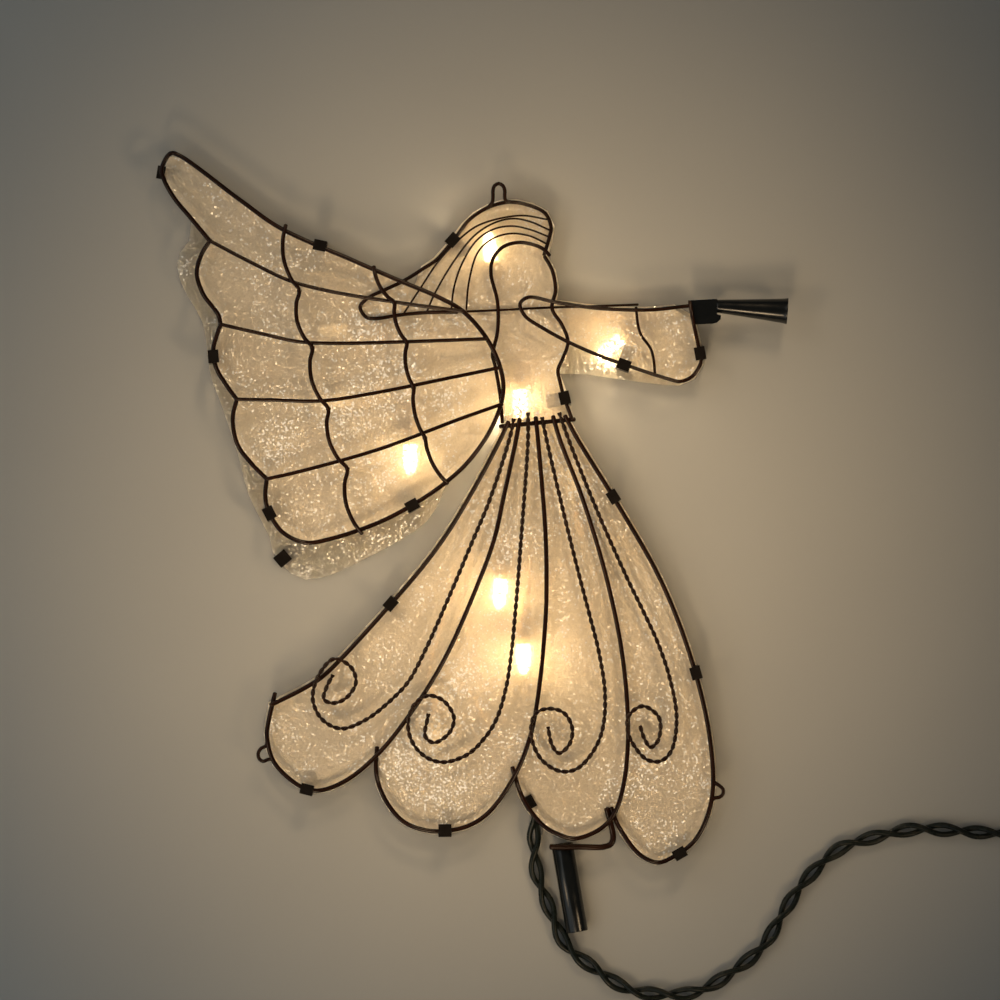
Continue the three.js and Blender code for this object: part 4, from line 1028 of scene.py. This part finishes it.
class TOPPER_OT_lead(bpy.types.Operator):
    """Make the twisted lead with its coil"""

    bl_idname = "topper.lead"
    bl_label = "Lead"

    def execute(self, context):
        size = sizes()
        line = spline(lifted(LEAD, LEAD_Z), LEAD_STEP)
        line += [coil_point(i / COIL_STEPS) for i in range(1, COIL_STEPS * COIL_TURNS + 1)]
        end = line[-1]
        line += [end + Vector((k * MM, 0, 0)) for k in range(TAIL_STEP, COIL_TAIL + 1, TAIL_STEP)]
        run = [0.0]
        for a, b in zip(line, line[1:]):
            run.append(run[-1] + (b - a).length)
        shell = Shell()
        shell.twisted(line, size.cord / 4, size.cord_pitch, [eye_at(s) for s in run], LEAD_SIDES)
        made = shell.piece("lead_twisted", [cable_finish()], ["cord_lead", "cord_coil"])
        boot = Shell()
        boot.lathe(BOOT_PROFILE, pointing(line[-1], 0), BOOT_SIDES)
        on_it = [boot.piece("plug_boot", [cable_finish()]), grip_ridges()]
        packed = ("plug_body", "plug_fuse_door", "plug_blade_1", "plug_blade_2", "coil_tie")
        on_it += [NODES[node] for node in packed]
        return {"FINISHED"}


class TOPPER_OT_plug(bpy.types.Operator):
    """Finish the plug, its fuse door and the coil's tie"""

    bl_idname = "topper.plug"
    bl_label = "Plug and tie"

    def execute(self, context):
        soften("plug_body", cable_finish(), width=1.2, segments=3)
        soften("plug_fuse_door", cable_finish(), width=0.3)
        soften("coil_tie", clip_finish(), width=0.2)
        tones = colours()
        blade = finish_of("blade_brass", lambda: brass(tones.blade, tones.blade_bright))
        for node in ("plug_blade_1", "plug_blade_2"):
            soften(node, blade, width=0.4)
        return {"FINISHED"}


# Stage, with places in the drawing in millimetres

VIEW_CENTRE = point(0, 200, 12)
VIEW_WIDTH = 0.4
VIEW_DISTANCE = 4.0
SENSOR_WIDTH = 36.0
TABLE_HALF = 4.0
TABLE_DROP = 0.1 * MM  # under the frame's floor
FIGURE_MIDDLE = point(1, 190, 0)
LIGHT_Z = 560
# Soft lights beside the table: place, and share of their power
SIDE_LIGHTS = ((-620, 620, 1.0), (-560, -300, 1.15))
SIDE_COLOUR = (0.9, 0.98, 1.0)
SIDE_WIDTH = 0.9
# Warm spots in a ring round the figure: way from the ring's middle in degrees, and share of their power
POOL_LIGHTS = ((75, 1.15), (140, 0.35), (200, 0.6), (260, 1.5), (330, 1.1))
POOL_COLOUR = (1.0, 0.72, 0.42)
POOL_MIDDLE = (0, 180)
POOL_REACH = 560
POOL_CONE = 21.5
POOL_RADIUS = 0.16
# One small warm spot on the plug
PLUG_LIGHT = point(330, 100, 620)
PLUG_MIDDLE = point(294, 96, 0)
PLUG_SHARE = 0.8
PLUG_CONE = 13
PLUG_RADIUS = 0.04
SKY_COLOUR = (0.86, 0.95, 1.0, 1.0)


class TOPPER_OT_stage(bpy.types.Operator):
    """Set the camera, the table top and the studio lights"""

    bl_idname = "topper.stage"
    bl_label = "Stage"

    def execute(self, context):
        scene = context.scene
        scene.view_settings.view_transform = "Standard"
        lens = bpy.data.cameras.new("view")
        lens.sensor_width = SENSOR_WIDTH
        lens.lens = SENSOR_WIDTH * VIEW_DISTANCE / VIEW_WIDTH
        camera = bpy.data.objects.new("view", lens)
        camera.location = VIEW_CENTRE + Vector((0, 0, VIEW_DISTANCE))
        scene.collection.objects.link(camera)
        scene.camera = camera
        mesh = bpy.data.meshes.new("table")
        corners = [(x * TABLE_HALF, y * TABLE_HALF, 0) for x, y in ((-1, -1), (1, -1), (1, 1), (-1, 1))]
        mesh.from_pydata(corners, [], [(0, 1, 2, 3)])
        mesh.materials.append(table_top(colours().table))
        table = bpy.data.objects.new("table", mesh)
        table.location.z = -TABLE_DROP
        scene.collection.objects.link(table)
        for number, (x, y, share) in enumerate(SIDE_LIGHTS):
            self.soft_light(f"side_{number + 1}", lamps().side * share, point(x, y, LIGHT_Z))
        for number, (way, share) in enumerate(POOL_LIGHTS):
            x = POOL_MIDDLE[0] + POOL_REACH * math.cos(math.radians(way))
            y = POOL_MIDDLE[1] + POOL_REACH * math.sin(math.radians(way))
            name, power = f"pool_{number + 1}", lamps().pool * share
            self.pool_light(name, power, point(x, y, LIGHT_Z), FIGURE_MIDDLE, POOL_CONE, POOL_RADIUS)
        power = lamps().pool * PLUG_SHARE
        self.pool_light("pool_plug", power, PLUG_LIGHT, PLUG_MIDDLE, PLUG_CONE, PLUG_RADIUS)
        world = bpy.data.worlds.new("studio")
        world.use_nodes = True
        sky = world.node_tree.nodes["Background"]
        sky.inputs["Color"].default_value = SKY_COLOUR
        sky.inputs["Strength"].default_value = lamps().fill
        scene.world = world
        return {"FINISHED"}

    def soft_light(self, name, power, place):
        """A large square light on the figure."""
        data = bpy.data.lights.new(name, "AREA")
        data.size = SIDE_WIDTH
        self.hang(name, data, power, place, SIDE_COLOUR, FIGURE_MIDDLE)

    def pool_light(self, name, power, place, aim, cone, radius):
        """A warm soft-edged spot."""
        data = bpy.data.lights.new(name, "SPOT")
        data.spot_size = math.radians(cone)
        data.spot_blend = 1.0
        data.shadow_soft_size = radius
        self.hang(name, data, power, place, POOL_COLOUR, aim)

    @staticmethod
    def hang(name, data, power, place, colour, aim):
        """Places a light that the camera doesn't see, and turns it to its aim."""
        data.energy = power
        data.color = colour
        made = bpy.data.objects.new(name, data)
        made.location = place
        made.rotation_euler = (aim - place).to_track_quat("-Z", "Y").to_euler()
        made.visible_camera = False
        bpy.context.scene.collection.objects.link(made)


class TOPPER_PT_panel(bpy.types.Panel):
    """The topper's pieces and their sizes and colours"""

    bl_idname = "TOPPER_PT_panel"
    bl_label = "Angel topper"
    bl_space_type = "VIEW_3D"
    bl_region_type = "UI"
    bl_category = "Topper"

    def draw(self, context):
        for operator in OPERATORS:
            self.layout.operator(operator.bl_idname)
        for group in (context.scene.topper_sizes, context.scene.topper_colours, context.scene.topper_lamps):
            box = self.layout.box()
            for name in group.__annotations__:
                box.prop(group, name)


OPERATORS = (
    TOPPER_OT_stage, TOPPER_OT_lead, TOPPER_OT_plug, TOPPER_OT_wing, TOPPER_OT_head, TOPPER_OT_skirt,
    TOPPER_OT_scrolls, TOPPER_OT_film, TOPPER_OT_clips, TOPPER_OT_lamps, TOPPER_OT_horn, TOPPER_OT_socket,
)
CLASSES = (TopperSizes, TopperColours, TopperLamps, *OPERATORS, TOPPER_PT_panel)


def register():
    for kind in CLASSES:
        bpy.utils.register_class(kind)
    bpy.types.Scene.topper_sizes = bpy.props.PointerProperty(type=TopperSizes)
    bpy.types.Scene.topper_colours = bpy.props.PointerProperty(type=TopperColours)
    bpy.types.Scene.topper_lamps = bpy.props.PointerProperty(type=TopperLamps)


def unregister():
    for name in ("topper_sizes", "topper_colours", "topper_lamps"):
        delattr(bpy.types.Scene, name)
    for kind in reversed(CLASSES):
        bpy.utils.unregister_class(kind)


def main():
    """Makes the stage and every piece."""
    register()
    for operator in OPERATORS:
        group, name = operator.bl_idname.split(".")
        getattr(getattr(bpy.ops, group), name)()


if __name__ == "__main__":
    main()
